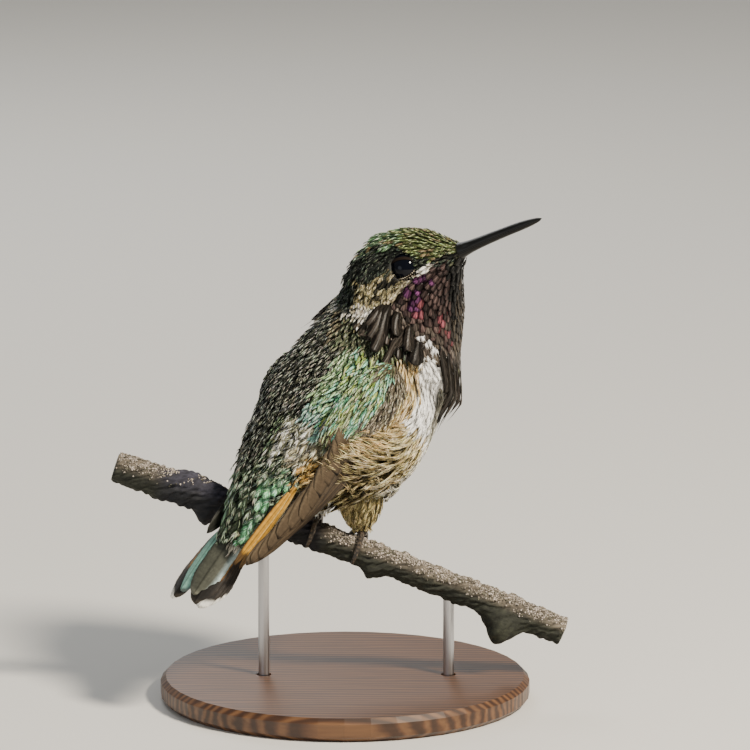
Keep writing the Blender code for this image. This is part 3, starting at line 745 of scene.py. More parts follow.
@dataclass
class Planting:
    """Feathers of one kind that grow from their places on a surface into a flock.

    Each feather runs towards smaller u, turned by its turn towards larger v, and rises from low at its root
    to high at its tip.
    """

    flock: Flock
    surface: Surface
    patch: Patch
    quill: Quill
    rng: Generator

    def __post_init__(self) -> None:
        """Measures where steps along and across each feather lead on the surface."""
        surface, patch = self.surface, self.patch
        pu, pv, out = surface.tangents(patch.u, patch.v)
        eu, ev = square(pu, pv)
        turn = np.radians(patch.turn)[:, None]
        ahead = -eu * np.cos(turn) + ev * np.sin(turn)
        self.ahead, self.across = (self.steps(pu, pv, way) for way in (ahead, np.cross(out, ahead)))
        self.root = surface.chart(patch.u, patch.v)[:, None]

    @staticmethod
    def steps(pu: ndarray, pv: ndarray, way: ndarray) -> ndarray:
        """Turns directions into steps over the surface.

        Args:
            pu: the surface's run per unit of u.
            pv: its run per unit of v.
            way: unit directions along it.

        Returns:
            The change of u and v for each millimetre.
        """
        g11, g12, g22 = (np.sum(a * b, axis=-1) for a, b in ((pu, pu), (pu, pv), (pv, pv)))
        det = g11 * g22 - g12 * g12
        b1, b2 = np.sum(pu * way, axis=-1), np.sum(pv * way, axis=-1)
        return MM * np.stack([(g22 * b1 - g12 * b2) / det, (g11 * b2 - g12 * b1) / det], axis=-1)

    def place(self, s: ndarray, w: ndarray, h: ndarray) -> tuple[ndarray, ndarray]:
        """Lays points of the feathers on the ground.

        Args:
            s: how far along its feather each point lies, from 0 to 1.
            w: how far across it, in half widths.
            h: how far above it, in millimetres.

        Returns:
            The points in metres, and their places on the baked unwrap.
        """
        patch = self.patch
        length, width = patch.length[:, None], patch.width[:, None]
        side = w * width / 2 + patch.bend[:, None] * length * s * s
        reach = s * length
        u = patch.u[:, None] + self.ahead[:, None, 0] * reach + self.across[:, None, 0] * side
        v = patch.v[:, None] + self.ahead[:, None, 1] * reach + self.across[:, None, 1] * side
        rise = patch.low[:, None] + (patch.high - patch.low)[:, None] * (1 - (1 - np.clip(s, 0, 1)) ** 1.35)
        points = self.surface.point(u, v, rise + h)
        spread = np.stack([np.clip(w, -1.5, 1.5) * 0.3, np.clip(s, 0, 1) - 0.5], axis=-1)
        return points, self.root + BAKED_FEATHER * spread


    def blades(self) -> None:
        """Grows the feathers' blades, each a flat tube with a ridge along its middle."""
        tones, quill, rng, n = self.patch.tones, self.quill, self.rng, len(self.patch.u)
        half = np.array(quill.outline.value)
        even = np.linspace(0, LAST_STATION, len(half))
        w = np.append(np.stack([-half, 0 * half, half, 0 * half], axis=1).ravel(), 0.0)
        top = quill.thick / 2 + quill.ridge * half
        h = np.stack([-0.5 * top, top, -0.5 * top, -quill.thick / 2 + 0 * top], axis=1)
        h = np.append(h.ravel(), 0.0)
        s = np.append(np.repeat(even, 4), 1.0)
        wide = w[None] * rng.uniform(0.88, 1.12, (n, len(s)))
        points, bake = self.place(s[None] * np.ones((n, 1)), wide, h[None])
        calm = paleness(tones.colour)[:, None, None]
        # Blades are painted darker towards the root and, by the quill's rim, along their edges: painted shade
        # where feathers overlap.
        shade = (0.4 + 0.65 * s) * (1 - quill.rim * (np.abs(w) > 0.05))
        colours = tones.colour[:, None] * (shade[None, :, None] * (1 - calm) + calm)
        vane = np.stack([w, s], axis=-1)
        self.flock.add(points, tube_faces(len(half), 4), colours, tones.gloss[:, None], vane[None], bake)

    def barbs(self) -> None:
        """Grows the barbs that lie on the feathers, each a thin tube of seven points."""
        tones, quill, rng = self.patch.tones, self.quill, self.rng
        n, b = len(self.patch.u), quill.barbs
        half = np.array(quill.outline.value)
        lane = (np.arange(b) + rng.uniform(-0.4, 0.4, (n, b))) / b
        way = np.where(np.arange(b) % 2 == 0, 1.0, -1.0)[None]
        s0 = 0.04 + 0.8 * lane
        s1 = s0 + quill.spread * rng.uniform(0.8, 1.25, (n, b))
        edge = np.interp(np.minimum(s1, 0.9), np.linspace(0, LAST_STATION, len(half)), half)
        w1 = way * edge * (1 + quill.reach * rng.uniform(-0.4, 1.3, (n, b))) * np.where(s1 > 0.95, 0.75, 1.0)
        w1 = w1 * np.clip((1.22 - s0) / 0.5, 0.15, 1)
        thin = quill.barb_width / self.patch.width[:, None]
        lift = quill.thick / 2 + quill.ridge
        low = lift * 0.6 - 0.02
        start_w = way * 0.03
        mid_s, mid_w = s0 + 0.45 * (s1 - s0), w1 * 0.6
        up = rng.uniform(-0.3, 1.0, (n, b)) * quill.loose
        rows = (
            (s0 - 0.01, s0, s0 + 0.01, mid_s + 0.012, mid_s, mid_s - 0.012, s1),
            (start_w - thin, start_w, start_w + thin, mid_w - thin, mid_w, mid_w + thin, w1),
            (lift - 0.03, lift + 0.03, lift - 0.03, low, lift * 0.6 + 0.045, low, up),
        )
        full = (np.stack([part + np.zeros((n, b)) for part in row], axis=-1).reshape(n, -1) for row in rows)
        points, bake = self.place(*full)
        run = np.cumsum(rng.normal(0, 0.7, (n, b)), axis=1) + rng.normal(0, 0.8, (n, b))
        bar = np.quantile(run, 1 - quill.streaks, axis=1, keepdims=True) if quill.streaks else 1e9
        streaked = run > bar
        dim = rng.random((n, b)) < 0.45
        light = np.where(dim, rng.uniform(0.25, 0.6, (n, b)), rng.uniform(0.95, 1.5, (n, b)))
        light = (light * (0.62 + 0.45 * s1))[..., None]
        calm = paleness(tones.colour)[:, None, None]
        light = light * (1 - 0.9 * calm) + 0.9 * calm
        fade = rng.uniform(0.45, 1.0, (n, b, 1)) * streaked[..., None]
        colour = tones.colour[:, None] * light * (1 - fade) + tones.streak[:, None] * fade
        gloss = tones.gloss[:, None]
        colour = colour * (1 + (0.08 + 0.5 * gloss[..., None]) * rng.uniform(-1, 1, (n, b, 3)) * (1 - calm))
        shaded = np.array([0.75, 0.8, 0.75, 1.0, 1.05, 1.0, 1.1])
        colour = (colour[:, :, None] * shaded[None, None, :, None]).reshape(n, -1, 3)
        faces = np.concatenate([tube_faces(2, 3) + len(shaded) * k for k in range(b)])
        self.flock.add(points, faces, colour, gloss, np.zeros((1, 1, 2)), bake)

    def grow(self) -> None:
        """Grows the feathers, with barbs where their kind has them."""
        if len(self.patch.u):
            self.blades()
            if self.quill.barbs:
                self.barbs()


# Functions of places on a surface, that give tests or points.
Places = Callable[[ndarray, ndarray], ndarray]
# How many places are tried for each that a surface has room for.
TRIES = 7


def crowded(cells: dict, key: tuple[int, int, int], spot: tuple[float, float, float], limit: float) -> bool:
    """Tells whether a place lies too near to one that is kept.

    Args:
        cells: the kept places, by the cell of space that they lie in.
        key: the place's own cell.
        spot: the place.
        limit: the square of the least distance.

    Returns:
        Whether it does.
    """
    (kx, ky, kz), (x, y, z) = key, spot
    for ax in (kx - 1, kx, kx + 1):
        for ay in (ky - 1, ky, ky + 1):
            for az in (kz - 1, kz, kz + 1):
                for qx, qy, qz in cells.get((ax, ay, az), ()):
                    if (x - qx) ** 2 + (y - qy) ** 2 + (z - qz) ** 2 < limit:
                        return True
    return False


def scatter(
    surface: Surface, u: tuple[float, float], v: tuple[float, float], gap: float, rng: Generator,
    inside: Places | None = None,
) -> tuple[ndarray, ndarray]:
    """Picks even but irregular places on part of a surface.

    Args:
        surface: the surface.
        u: the range of its first number.
        v: the range of its second number.
        gap: the least distance between places, in millimetres.
        rng: the source of chance.
        inside: a test that takes u and v and tells which places to keep, or None.

    Returns:
        The places, as arrays of u and v, those with the smallest u first.
    """
    gu, gv = np.meshgrid(np.linspace(*u, 40), np.linspace(*v, 60), indexing="ij")
    pu, pv, _ = surface.tangents(gu, gv)
    cell = np.linalg.norm(np.cross(pu, pv), axis=-1) / MM**2
    area = cell.mean() * abs(u[1] - u[0]) * abs(v[1] - v[0])
    peak = cell.max()
    tries = int(area / gap**2 * TRIES * peak / cell.mean())
    tu, tv = rng.uniform(*u, tries), rng.uniform(*v, tries)
    if inside is not None:
        keep = inside(tu, tv)
        tu, tv = tu[keep], tv[keep]
    pu, pv, _ = surface.tangents(tu, tv)
    keep = rng.random(len(tu)) * peak < np.linalg.norm(np.cross(pu, pv), axis=-1) / MM**2
    tu, tv = tu[keep], tv[keep]
    spots = surface.point(tu, tv, np.zeros_like(tu)) / MM
    cells: dict[tuple[int, int, int], list] = {}
    kept = []
    keys = np.floor(spots / gap).astype(int)
    for i, (spot, key) in enumerate(zip(map(tuple, spots.tolist()), map(tuple, keys.tolist()))):
        if not crowded(cells, key, spot, gap * gap):
            cells.setdefault(key, []).append(spot)
            kept.append(i)
    order = np.array(kept)[np.argsort(tu[kept])]
    return tu[order], tv[order]


# Finishes.


class Recipe:
    """A material in the making: its nodes, and its shader's sockets."""

    def __init__(self, name: str, roughness: float, colour: str = "808080") -> None:
        """Starts a material with a plain colour and roughness.

        Args:
            name: the material's name.
            roughness: how dull it is, from 0 to 1.
            colour: its colour, which later links may replace.
        """
        self.material = bpy.data.materials.new(name)
        self.material.use_nodes = True
        self.tree = self.material.node_tree
        self.shader = self.tree.nodes["Principled BSDF"]
        self.set("Base Color", (*tone(colour), 1.0))
        self.set("Roughness", roughness)
        self.material.diffuse_color = (*tone(colour), 1.0)

    def set(self, socket: str, value: object) -> None:
        """Sets a value that is the same all over on the shader's own socket."""
        self.shader.inputs[socket].default_value = value

    def node(self, kind: str, inputs: dict | None = None, **settings: object) -> Node:
        """Adds a node.

        Args:
            kind: the node's type, after ShaderNode.
            inputs: sockets by name or number, each with a value or with another socket to link.
            **settings: the node's own properties.

        Returns:
            The node.
        """
        made = self.tree.nodes.new("ShaderNode" + kind)
        for key, value in settings.items():
            setattr(made, key, value)
        for key, value in (inputs or {}).items():
            if isinstance(value, NodeSocket):
                self.tree.links.new(value, made.inputs[key])
            else:
                made.inputs[key].default_value = value
        return made

    def math(self, operation: str, *values: object) -> NodeSocket:
        """Does arithmetic on sockets and numbers, and gives the answer's socket."""
        return self.node("Math", dict(enumerate(values)), operation=operation).outputs[0]

    def ramp(self, factor: NodeSocket, *stops: tuple[float, str]) -> NodeSocket:
        """Turns a factor into colours.

        Args:
            factor: a value from 0 to 1.
            *stops: places from 0 to 1, each with its colour.

        Returns:
            The colour's socket.
        """
        made = self.node("ValToRGB", {0: factor})
        elements = made.color_ramp.elements
        while len(elements) < len(stops):
            elements.new(0.5)
        for element, (place, code) in zip(elements, stops):
            element.position = place
            element.color = (*tone(code), 1.0)
        return made.outputs[0]

    def multiply(self, colour: NodeSocket, factor: NodeSocket) -> NodeSocket:
        """Multiplies a colour by a varying factor."""
        inputs = {0: 1.0, 6: colour, 7: factor}
        return self.node("Mix", inputs, data_type="RGBA", blend_type="MULTIPLY").outputs[2]

    def bump(self, height: NodeSocket, strength: float, distance: float) -> None:
        """Raises the surface's fine grain by a distance in metres."""
        made = self.node("Bump", {"Height": height, "Strength": strength, "Distance": distance})
        self.link(made.outputs[0], "Normal")

    def link(self, source: NodeSocket, socket: str) -> None:
        """Links a varying value to the shader."""
        self.tree.links.new(source, self.shader.inputs[socket])

    def noise(self, scale: float, detail: float = 3.0, stretch: tuple | None = None) -> NodeSocket:
        """Gives noise on the object's own coordinates.

        Args:
            scale: how many of its grains lie in a metre.
            detail: how many finer layers it has.
            stretch: factors for its three directions, or None.

        Returns:
            The noise's socket.
        """
        where = self.node("TexCoord").outputs["Object"]
        if stretch:
            where = self.node("Mapping", {0: where, 3: stretch}).outputs[0]
        return self.node("TexNoise", {"Vector": where, "Scale": scale, "Detail": detail}).outputs[0]

    def tint(self) -> NodeSocket:
        """Gives the colour that paint wrote at each point."""
        return self.node("Attribute", attribute_name="Tint").outputs["Color"]

    def spread(
        self, value: NodeSocket, low: float, high: float, given: tuple[float, float] = (0.3, 0.7)
    ) -> NodeSocket:
        """Spreads a value from the range that it is given in over another, from low to high."""
        return self.node("MapRange", {0: value, 1: given[0], 2: given[1], 3: low, 4: high}).outputs[0]


@dataclass(frozen=True)
class Plumage:
    """The finish of feathers: their own colours, crossed by the fine lines of their barbs."""

    name: str
    roughness: float = 0.5
    lines: float = 40.0
    slant: float = 0.35
    depth: float = 0.3
    shine: float = 0.4

    def make(self) -> Material:
        """Builds the material.

        Returns:
            The material.
        """
        r = Recipe(self.name, self.roughness, "6b6b55")
        vane = r.node("SeparateXYZ", {0: r.node("UVMap", uv_map="Vane").outputs[0]})
        slant = r.math("MULTIPLY", r.math("ABSOLUTE", vane.outputs[0]), self.slant)
        wave = r.math("SINE", r.math("MULTIPLY", r.math("SUBTRACT", vane.outputs[1], slant), self.lines))
        lines = r.spread(wave, 1 - self.depth, 1 + self.depth, (-1.0, 1.0))
        fleck = r.spread(r.noise(2600.0), 0.82, 1.18)
        r.link(r.multiply(r.multiply(r.tint(), lines), fleck), "Base Color")
        gloss = r.node("Attribute", attribute_name="Gloss").outputs["Fac"]
        r.link(r.math("MULTIPLY", gloss, self.shine), "Metallic")
        r.link(r.spread(gloss, self.roughness, 0.27, (0.0, 1.0)), "Roughness")
        r.set("Specular IOR Level", 0.22)
        r.bump(wave, 0.35, 0.00002)
        return r.material


def deselect() -> None:
    """Leaves nothing selected and no edit mode on."""
    if bpy.context.object and bpy.context.object.mode != "OBJECT":
        bpy.ops.object.mode_set(mode="OBJECT")
    bpy.ops.object.select_all(action="DESELECT")


def choose(*pieces: Object) -> None:
    """Selects some pieces alone, and makes the first of them active."""
    deselect()
    for piece in pieces:
        piece.select_set(True)
    bpy.context.view_layer.objects.active = pieces[0]


def settle(made: Object, name: str, finish: Material) -> Object:
    """Names and dresses a finished piece, puts its place in its mesh, and sets it on the model.

    Args:
        made: the piece.
        name: its name.
        finish: its material.

    Returns:
        The piece.
    """
    choose(made)
    bpy.ops.object.transform_apply(location=True, rotation=True, scale=True)
    made.name = made.data.name = name
    made.data.materials.clear()
    made.data.materials.append(finish)
    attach(made, "root")
    LOG.info("%s: %d faces", name, len(made.data.polygons))
    return made


def dress(finish: Material, *nodes: str) -> None:
    """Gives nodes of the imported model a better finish.

    Args:
        finish: their new material.
        *nodes: the nodes' names.
    """
    for node in nodes:
        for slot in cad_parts[node].material_slots:
            slot.material = finish


# The bird's skin and coat.


def eye_middle(body: Body, turn: int) -> ndarray:
    """Gives the middle of the right eye for a turn of 1, or of the left one for -1, in metres."""
    return body.point(np.array(EYE_AT[0]), np.array(turn * EYE_AT[1]), np.array(-EYE_DEPTH))


@dataclass
class Skin:
    """The bird's one skin, under its feathers, with its thighs."""

    face_depth: float = 0.45
    body_depth: float = 0.8
    rows: int = 150
    sides: int = 120
    thigh_rows: int = 20
    thigh_sides: int = 28
    thigh_depth: float = 0.45
    shade: float = 0.55

    def depth(self, t: ndarray) -> ndarray:
        """Gives how far the skin lies under the feathers' tips."""
        return self.body_depth + (self.face_depth - self.body_depth) * ease((t - 5.0) / 1.4)

    def shell(self, surface: Surface, u: ndarray, v: ndarray, lift: ndarray) -> Object:
        """Makes a closed form, painted with the plumage's markings.

        Args:
            surface: the surface that it follows.
            u: the places of its rows.
            v: the places of its sides.
            lift: how far each of its points stands off the surface, in millimetres.

        Returns:
            The form, in the scene.
        """
        gu, gv = np.meshgrid(u, v, indexing="ij")
        points = surface.point(gu, gv, lift)
        rows, sides = gu.shape
        bm = bmesh.new()
        verts = [bm.verts.new(p) for p in points.reshape(-1, 3)]
        for j in range(rows - 1):
            for i in range(sides):
                a, b = j * sides + i, j * sides + (i + 1) % sides
                bm.faces.new((verts[a], verts[b], verts[b + sides], verts[a + sides]))
        bm.faces.new(verts[:sides][::-1])
        bm.faces.new(verts[-sides:])
        bmesh.ops.recalc_face_normals(bm, faces=bm.faces)
        bmesh.ops.triangulate(bm, faces=bm.faces)
        mesh = bpy.data.meshes.new("skin")
        bm.to_mesh(mesh)
        bm.free()
        rng = default_rng(SEED)
        t, a = (gu, gv) if isinstance(surface, Body) else (1.5 + 0 * gu, 130 + 0 * gv)
        t, a = t.ravel(), (a.ravel() + 180) % 360 - 180
        under = (np.abs(a) > throat_edge(t)) & (t > throat_foot(a))
        colour = np.where(under[:, None], throat(t, a, rng).colour, plumage(t, a, rng).colour)
        # The skin is painted darker than the feathers by its shade: painted shade in the gaps between them;
        # pale colours keep theirs.
        calm = paleness(colour)[:, None]
        colour = colour * (self.shade * (1 - calm) + calm)
        paint(mesh, colour, np.zeros(len(t)))
        chart = surface.chart(gu, (gv + 180) % 360 - 180).reshape(-1, 2)
        loops = np.empty(len(mesh.loops), dtype=np.int32)
        mesh.loops.foreach_get("vertex_index", loops)
        for title in ("OFBake", "Vane"):
            layer = mesh.uv_layers.new(name=title)
            layer.data.foreach_set("uv", chart[loops].astype(np.float32).ravel())
        mesh.shade_smooth()
        return enter(bpy.data.objects.new("skin", mesh))

    def build(self, finish: Material) -> Object:
        """Builds the skin in place of the model's flesh.

        Args:
            finish: its material.

        Returns:
            The skin.
        """
        t = np.linspace(-0.02, 9.99, self.rows)
        a = np.linspace(0, 360, self.sides, endpoint=False)
        surface = Body(swell=False)
        lift = -self.depth(t)[:, None] + 0 * a
        spots = surface.point(t[:, None] + 0 * a, a + 0 * t[:, None], 0 * lift)
        for turn in (1, -1):
            far = np.linalg.norm(spots - eye_middle(surface, turn), axis=-1) / MM
            lift -= 0.5 * ease((2.85 - far) / 0.55)
        body = self.shell(surface, t, a, lift)
        u, v = np.linspace(0.02, 1.1, self.thigh_rows), np.linspace(0, 360, self.thigh_sides, endpoint=False)
        for thigh in THIGHS:
            leg = self.shell(thigh, u, v, np.full((len(u), len(v)), -self.thigh_depth))
            join = body.modifiers.new("thigh", "BOOLEAN")
            join.operation, join.object = "UNION", leg
            choose(body)
            bpy.ops.object.modifier_apply(modifier=join.name)
            bpy.data.objects.remove(leg)
        body = settle(body, "skin", finish)
        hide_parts("head", "neck", "trunk", "leg_left", "leg_right")
        return body


@dataclass
class Coat:
    """All the small feathers of the head, throat, back, breast, flanks and thighs."""

    finish: Material
    throat_finish: Material
    skin: Skin
    share: float = 1.0
    limit: int = 190_000
    blade_faces: int = 48
    barb_faces: int = 10

    def __post_init__(self) -> None:
        """Works out where the eyes are."""
        self.eyes = [eye_middle(Body(), turn) for turn in (1, -1)]

    def eye_reach(self, surface: Surface, u: ndarray, v: ndarray) -> ndarray:
        """Measures how far places on the head are from the rim of the nearer eye.

        Args:
            surface: the surface that the places lie on.
            u: places along the body.
            v: angles round it.

        Returns:
            The distances in millimetres.
        """
        spots = surface.point(u, v, -self.skin.depth(u))
        far = [np.linalg.norm(spots - eye, axis=-1) / MM for eye in self.eyes]
        return np.minimum(*far) - EYE_RADIUS

    def lie(self, t: ndarray, a: ndarray) -> ndarray:
        """Gives how far feathers turn from the body's line towards the belly.

        Args:
            t: places along the body.
            a: angles round it.

        Returns:
            The turns in degrees.
        """
        side, sign = np.abs(a), np.sign(a)
        flank = window(side, 98, 152, 20) * window(t, 1.6, 4.5, 0.5)
        over = window(side, 92, 118, 14) * window(t, 2.0, 3.7, 0.6)
        cheek = window(side, 40, 88, 14) * window(t, 5.2, 6.9, 0.4)
        breast = window(side, 112, 150, 14) * window(t, 4.6, 5.8, 0.3)
        return sign * (-22 * flank - 34 * over - 12 * cheek + 8 * breast)

    def patch(
        self, spots: tuple[ndarray, ndarray], size: tuple, rise: float, tones: Tones,
        rng: Generator, ruffle: float = 1.0,
    ) -> Patch:
        """Makes a patch of body feathers.

        Args:
            spots: their places, as arrays of t and of angles.
            size: their lengths and widths, in millimetres.
            rise: how far their tips stand off the surface.
            tones: their colours.
            rng: the source of their variation.
            ruffle: how untidily they lie.

        Returns:
            The patch.
        """
        t, a = spots
        n = len(t)
        length, width = (part * rng.uniform(0.85, 1.15, n) for part in size)
        turn = self.lie(t, a) + rng.normal(0, 7 * ruffle, n)
        high = rise + rng.uniform(-0.12, 0.08, n) * ruffle
        low = 0.05 - self.skin.depth(t)
        return Patch(t, a, length, width, turn, low, high, tones, rng.normal(0, 0.09 * ruffle, n))

    def sow(
        self, name: str, surface: Surface, patch: Patch, quill: Quill, rng: Generator,
        finish: Material | None = None,
    ) -> None:
        """Grows a patch as one or more meshes that stay small enough.

        Args:
            name: their name.
            surface: the surface that the feathers grow on.
            patch: the feathers.
            quill: the kind of feather.
            rng: the source of their variation.
            finish: their material, or None for the coat's own.
        """
        each = self.blade_faces + self.barb_faces * quill.barbs
        parts = max(1, math.ceil(len(patch.u) * each / self.limit))
        for k in range(parts):
            flock = Flock()
            Planting(flock, surface, patch.pick(np.arange(len(patch.u)) % parts == k), quill, rng).grow()
            made = flock.mesh(name if parts == 1 else f"{name}_{k + 1}", finish or self.finish)

    def head(self) -> None:
        """Covers the crown, face and nape."""
        rng = default_rng(SEED + 1)
        surface = Body(swell=False)

        def inside(t: ndarray, a: ndarray) -> ndarray:
            """Keeps off the eyes and the throat."""
            return (self.eye_reach(surface, t, a) > 0.05) & (np.abs(a) < throat_edge(t) + 5)

        t, a = scatter(surface, (5.2, 9.93), (-180, 180), 0.47 / self.share, rng, inside)
        side, clear = np.abs(a), self.eye_reach(surface, t, a)
        crown = window(side, 0, 50, 8) * window(t, 6.4, 10.5, 0.3)
        size = 0.72 + 0.38 * ease((9.4 - t) / 2.5)
        length = size * (1.35 + 0.25 * crown)
        length = np.minimum(length, 0.3 + 0.9 * np.clip(clear, 0, 5) + 9 * (t < EYE_AT[0] - 0.2))
        width = np.minimum(size * (0.62 - 0.08 * crown), 0.26 + 0.5 * clear)
        patch = self.patch((t, a), (length, width), -0.05, plumage(t, a, rng), rng, 0.8)
        near = ease(1 - clear / 1.3)
        patch.high = patch.high * (1 - near) + (0.12 - self.skin.depth(t)) * near
        patch.turn = patch.turn + np.sign(a) * 10 * crown * window(side, 14, 50, 8)
        scaly = crown > 0.5
        self.sow("crown_feathers", surface, patch.pick(scaly), CROWN_SCALE, rng)
        self.sow("face_feathers", surface, patch.pick(~scaly), FACE_FEATHER, rng)

        n = int(150 * self.share)
        t, a = rng.uniform(5.7, 7.2, n), rng.uniform(-62, 46, n)
        spikes = self.patch((t, a), (1.9 + 0 * t, 0.4 + 0 * t), 0.45, plumage(t, a, rng), rng, 1.3)
        self.sow("nape_spikes", surface, spikes, NAPE_SPIKE, rng)

    def gorget(self) -> None:
        """Covers the throat with scales, and hangs its long corner plumes."""
        rng = default_rng(SEED + 2)
        surface = Body(swell=True)

        def inside(t: ndarray, a: ndarray) -> ndarray:
            """Keeps to the throat, off the eyes and the pale line beside it."""
            edge, clear = throat_edge(t) + (2 + 3 * bell(t, 8.2, 0.5)), self.eye_reach(surface, t, a) > 0.1
            return (np.abs(a) > edge) & clear & (t > throat_foot(a))

        t, a = scatter(surface, (5.05, 9.88), (-180, 180), 0.6 / self.share, rng, inside)
        size = 0.84 + 0.46 * ease((9.2 - t) / 2.4)
        foot = ease(1 - (t - throat_foot(a)) / 0.5)
        length, width = size * (1.12 + 0.9 * foot), size * (1.06 + 0.1 * foot)
        patch = self.patch((t, a), (length, width), 0.02, throat(t, a, rng), rng, 0.45)
        patch.low = patch.low + 0.15
        self.sow("gorget_scales", surface, patch, THROAT_SCALE, rng, self.throat_finish)

        rows = np.array(PLUMES, dtype=float)
        change = rng.normal(0, 1, rows.shape) * (0.06, 1.5, 0.08, 2.0, 0.08, 0.05)
        mirrored = rows * (1, -1, 1, -1, 1, 1) + change
        self.tassels(np.concatenate([rows, mirrored]), rng)

    def tassels(self, rows: ndarray, rng: Generator) -> None:
        """Hangs long plumes, each from one place on the body to another.

        Args:
            rows: their roots and tips as (t, angle), widths, and how far their tips stand off.
            rng: the source of their variation.
        """
        surface = Body()
        u, v, u1, v1, width, lift = rows.T
        nil = np.zeros_like(u)
        line = (surface.point(u1, v1, nil) - surface.point(u, v, nil)) / MM
        eu, ev = square(*surface.tangents(u, v)[:2])
        turn = np.degrees(np.arctan2(np.sum(line * ev, axis=-1), -np.sum(line * eu, axis=-1)))
        length = np.linalg.norm(line, axis=-1)
        n = len(u)
        colour = blend("262320", "413a33", rng.random((n, 1)))
        tones = Tones(colour, np.broadcast_to(tone("4c453d"), (n, 3)), np.full(n, 0.02))
        patch = Patch(u, v, length, width, turn, lift * 0.3 - 0.2, lift, tones, rng.normal(0, 0.03, n))
        self.sow("gorget_plumes", surface, patch, THROAT_PLUME, rng, self.throat_finish)

    def trunk(self) -> None:
        """Covers the back, rump, breast, belly and flanks."""
        rng = default_rng(SEED + 3)
        surface = Body(swell=False)

        def above(t: ndarray, a: ndarray) -> ndarray:
            """Keeps off the tail's root and the throat."""
            return ((t > 1.35) | (np.abs(a) > 84)) & (t < throat_foot(a) + 0.7)

        t, a = scatter(surface, (-0.15, 6.4), (-180, 180), 0.53 / self.share, rng, above)
        side = np.abs(a)
        size = 1.0 + 0.4 * window(t, 0.5, 4.2, 0.8)
        tones = plumage(t, a, rng)
        soft = side > 99
        back = self.patch((t, a), (size * 1.45, size * 0.46), 0.0, tones, rng, 1.3)
        self.sow("back_feathers", surface, back.pick(~soft & (t < 5.5)), BACK_FEATHER, rng)
        flank = self.patch((t, a), (size * 2.0, size * 0.56), 0.0, tones, rng)
        flank.width = flank.width * (1 + 0.6 * ease((tones.colour.mean(axis=1) - 0.6) / 0.2))
        golden = window(side, 96, 124, 10) * window(t, 1.9, 4.4, 0.4) * (a > 0)
        over = window(side, 106, 127, 3) * window(t, 1.75, 3.5, 0.3) * (a > 0)
        flank.low = flank.low + 0.3 * over
        flank.high = flank.high + 0.5 * golden + 1.5 * over
        flank.length = flank.length * (1 + 0.35 * golden + 0.5 * over)
        self.sow("breast_feathers", surface, flank.pick(soft), BREAST_FEATHER, rng)

        t, a = scatter(surface, (-0.1, 1.5), (-86, 86), 1.1 / self.share, rng)
        size = 1.0 + 0.25 * ease(1.2 - t)
        short = 0.55 + 0.45 * ease((t + 0.05) / 0.7)
        coverts = self.patch((t, a), (size * short * 3.0, size * 1.8), 0.1, plumage(t, a, rng), rng, 0.8)
        self.sow("tail_coverts", surface, coverts, TAIL_COVERT, rng)

        def ruffled(t: ndarray, a: ndarray) -> ndarray:
            """Keeps to both sides of the rump."""
            return (np.abs(a) > 20) & (np.abs(a) < 100)

        t, a = scatter(surface, (1.35, 2.45), (-100, 100), 1.05 / self.share, rng, ruffled)
        tufts = self.patch((t, a), (2.5 + 0 * t, 1.2 + 0 * t), 0.35, plumage(t, a, rng), rng, 1.6)
        self.sow("rump_down", surface, tufts, RUMP_DOWN, rng)

    def thighs(self) -> None:
        """Covers the thighs with loose down, and hangs longer tufts from the belly between them."""
        rng = default_rng(SEED + 5)
        for name, thigh in zip(("right", "left"), THIGHS):
            u, v = scatter(thigh, (0.0, 1.06), (0, 360), 0.46 / self.share, rng)
            n = len(u)
            pale = rng.random((n, 1)) < (0.03 if name == "right" else 0.7)
            mix = rng.random((n, 1))
            colour = np.where(pale, blend("b5b2a8", "f6f5f0", mix), blend("66592f", "b3a473", mix))
            tones = Tones(colour, np.where(pale, tone("ffffff"), tone("d6c899")), np.zeros(n))
            turn = rng.normal(0, 16, n) - 28 * np.sin(np.radians(v))
            high = rng.uniform(-0.1, 0.35, n) + 0.3 * pale[:, 0]
            length = 1.9 * rng.uniform(0.8, 1.2, n) * np.minimum(1, 0.55 + u)
            low, bend = np.full(n, -0.4), rng.normal(0, 0.12, n)
            patch = Patch(u, v, length, 0.85 + 0 * u, turn, low, high, tones, bend)
            self.sow(f"thigh_down_{name}", thigh, patch, THIGH_DOWN, rng)

        t, a = rng.uniform(1.9, 3.1, 190), rng.uniform(126, 226, 190)
        a = np.where(a > 180, a - 360, a)
        tufts = self.patch((t, a), (4.2 + 0 * t, 1.15 + 0 * t), 1.8, plumage(t, a, rng), rng, 2.0)
        self.sow("belly_tufts", Body(swell=False), tufts, BELLY_TUFT, rng)

    def build(self) -> None:
        """Grows the whole coat."""
        self.head()
        self.gorget()
        self.trunk()
        self.thighs()


# The throat's hanging plumes on the right: root and tip as (t, angle), width, and how far the tip stands off.
PLUMES = (
    (5.85, 76, 4.95, 46, 1.4, 0.7),
    (5.95, 80, 4.7, 48, 1.7, 0.8),
    (6.05, 86, 4.5, 52, 2.0, 0.9),
    (6.1, 96, 5.35, 90, 1.9, 0.8),
    (5.75, 106, 4.6, 84, 1.2, 0.75),
    (5.7, 102, 4.4, 76, 1.7, 0.95),
    (6.0, 108, 5.2, 100, 1.8, 0.75),
    (5.8, 116, 5.0, 108, 2.0, 0.75),
    (6.2, 142, 5.15, 139, 1.3, 0.4),
    (6.1, 150, 4.7, 147, 1.3, 0.7),
    (5.9, 156, 4.65, 152, 0.9, 0.9),
    (6.0, 162, 4.95, 158, 1.2, 0.6),
    (5.9, 168, 4.8, 166, 0.9, 0.9),
    (6.1, 176, 5.05, 175, 1.2, 0.6),
)


# Wings and tail.


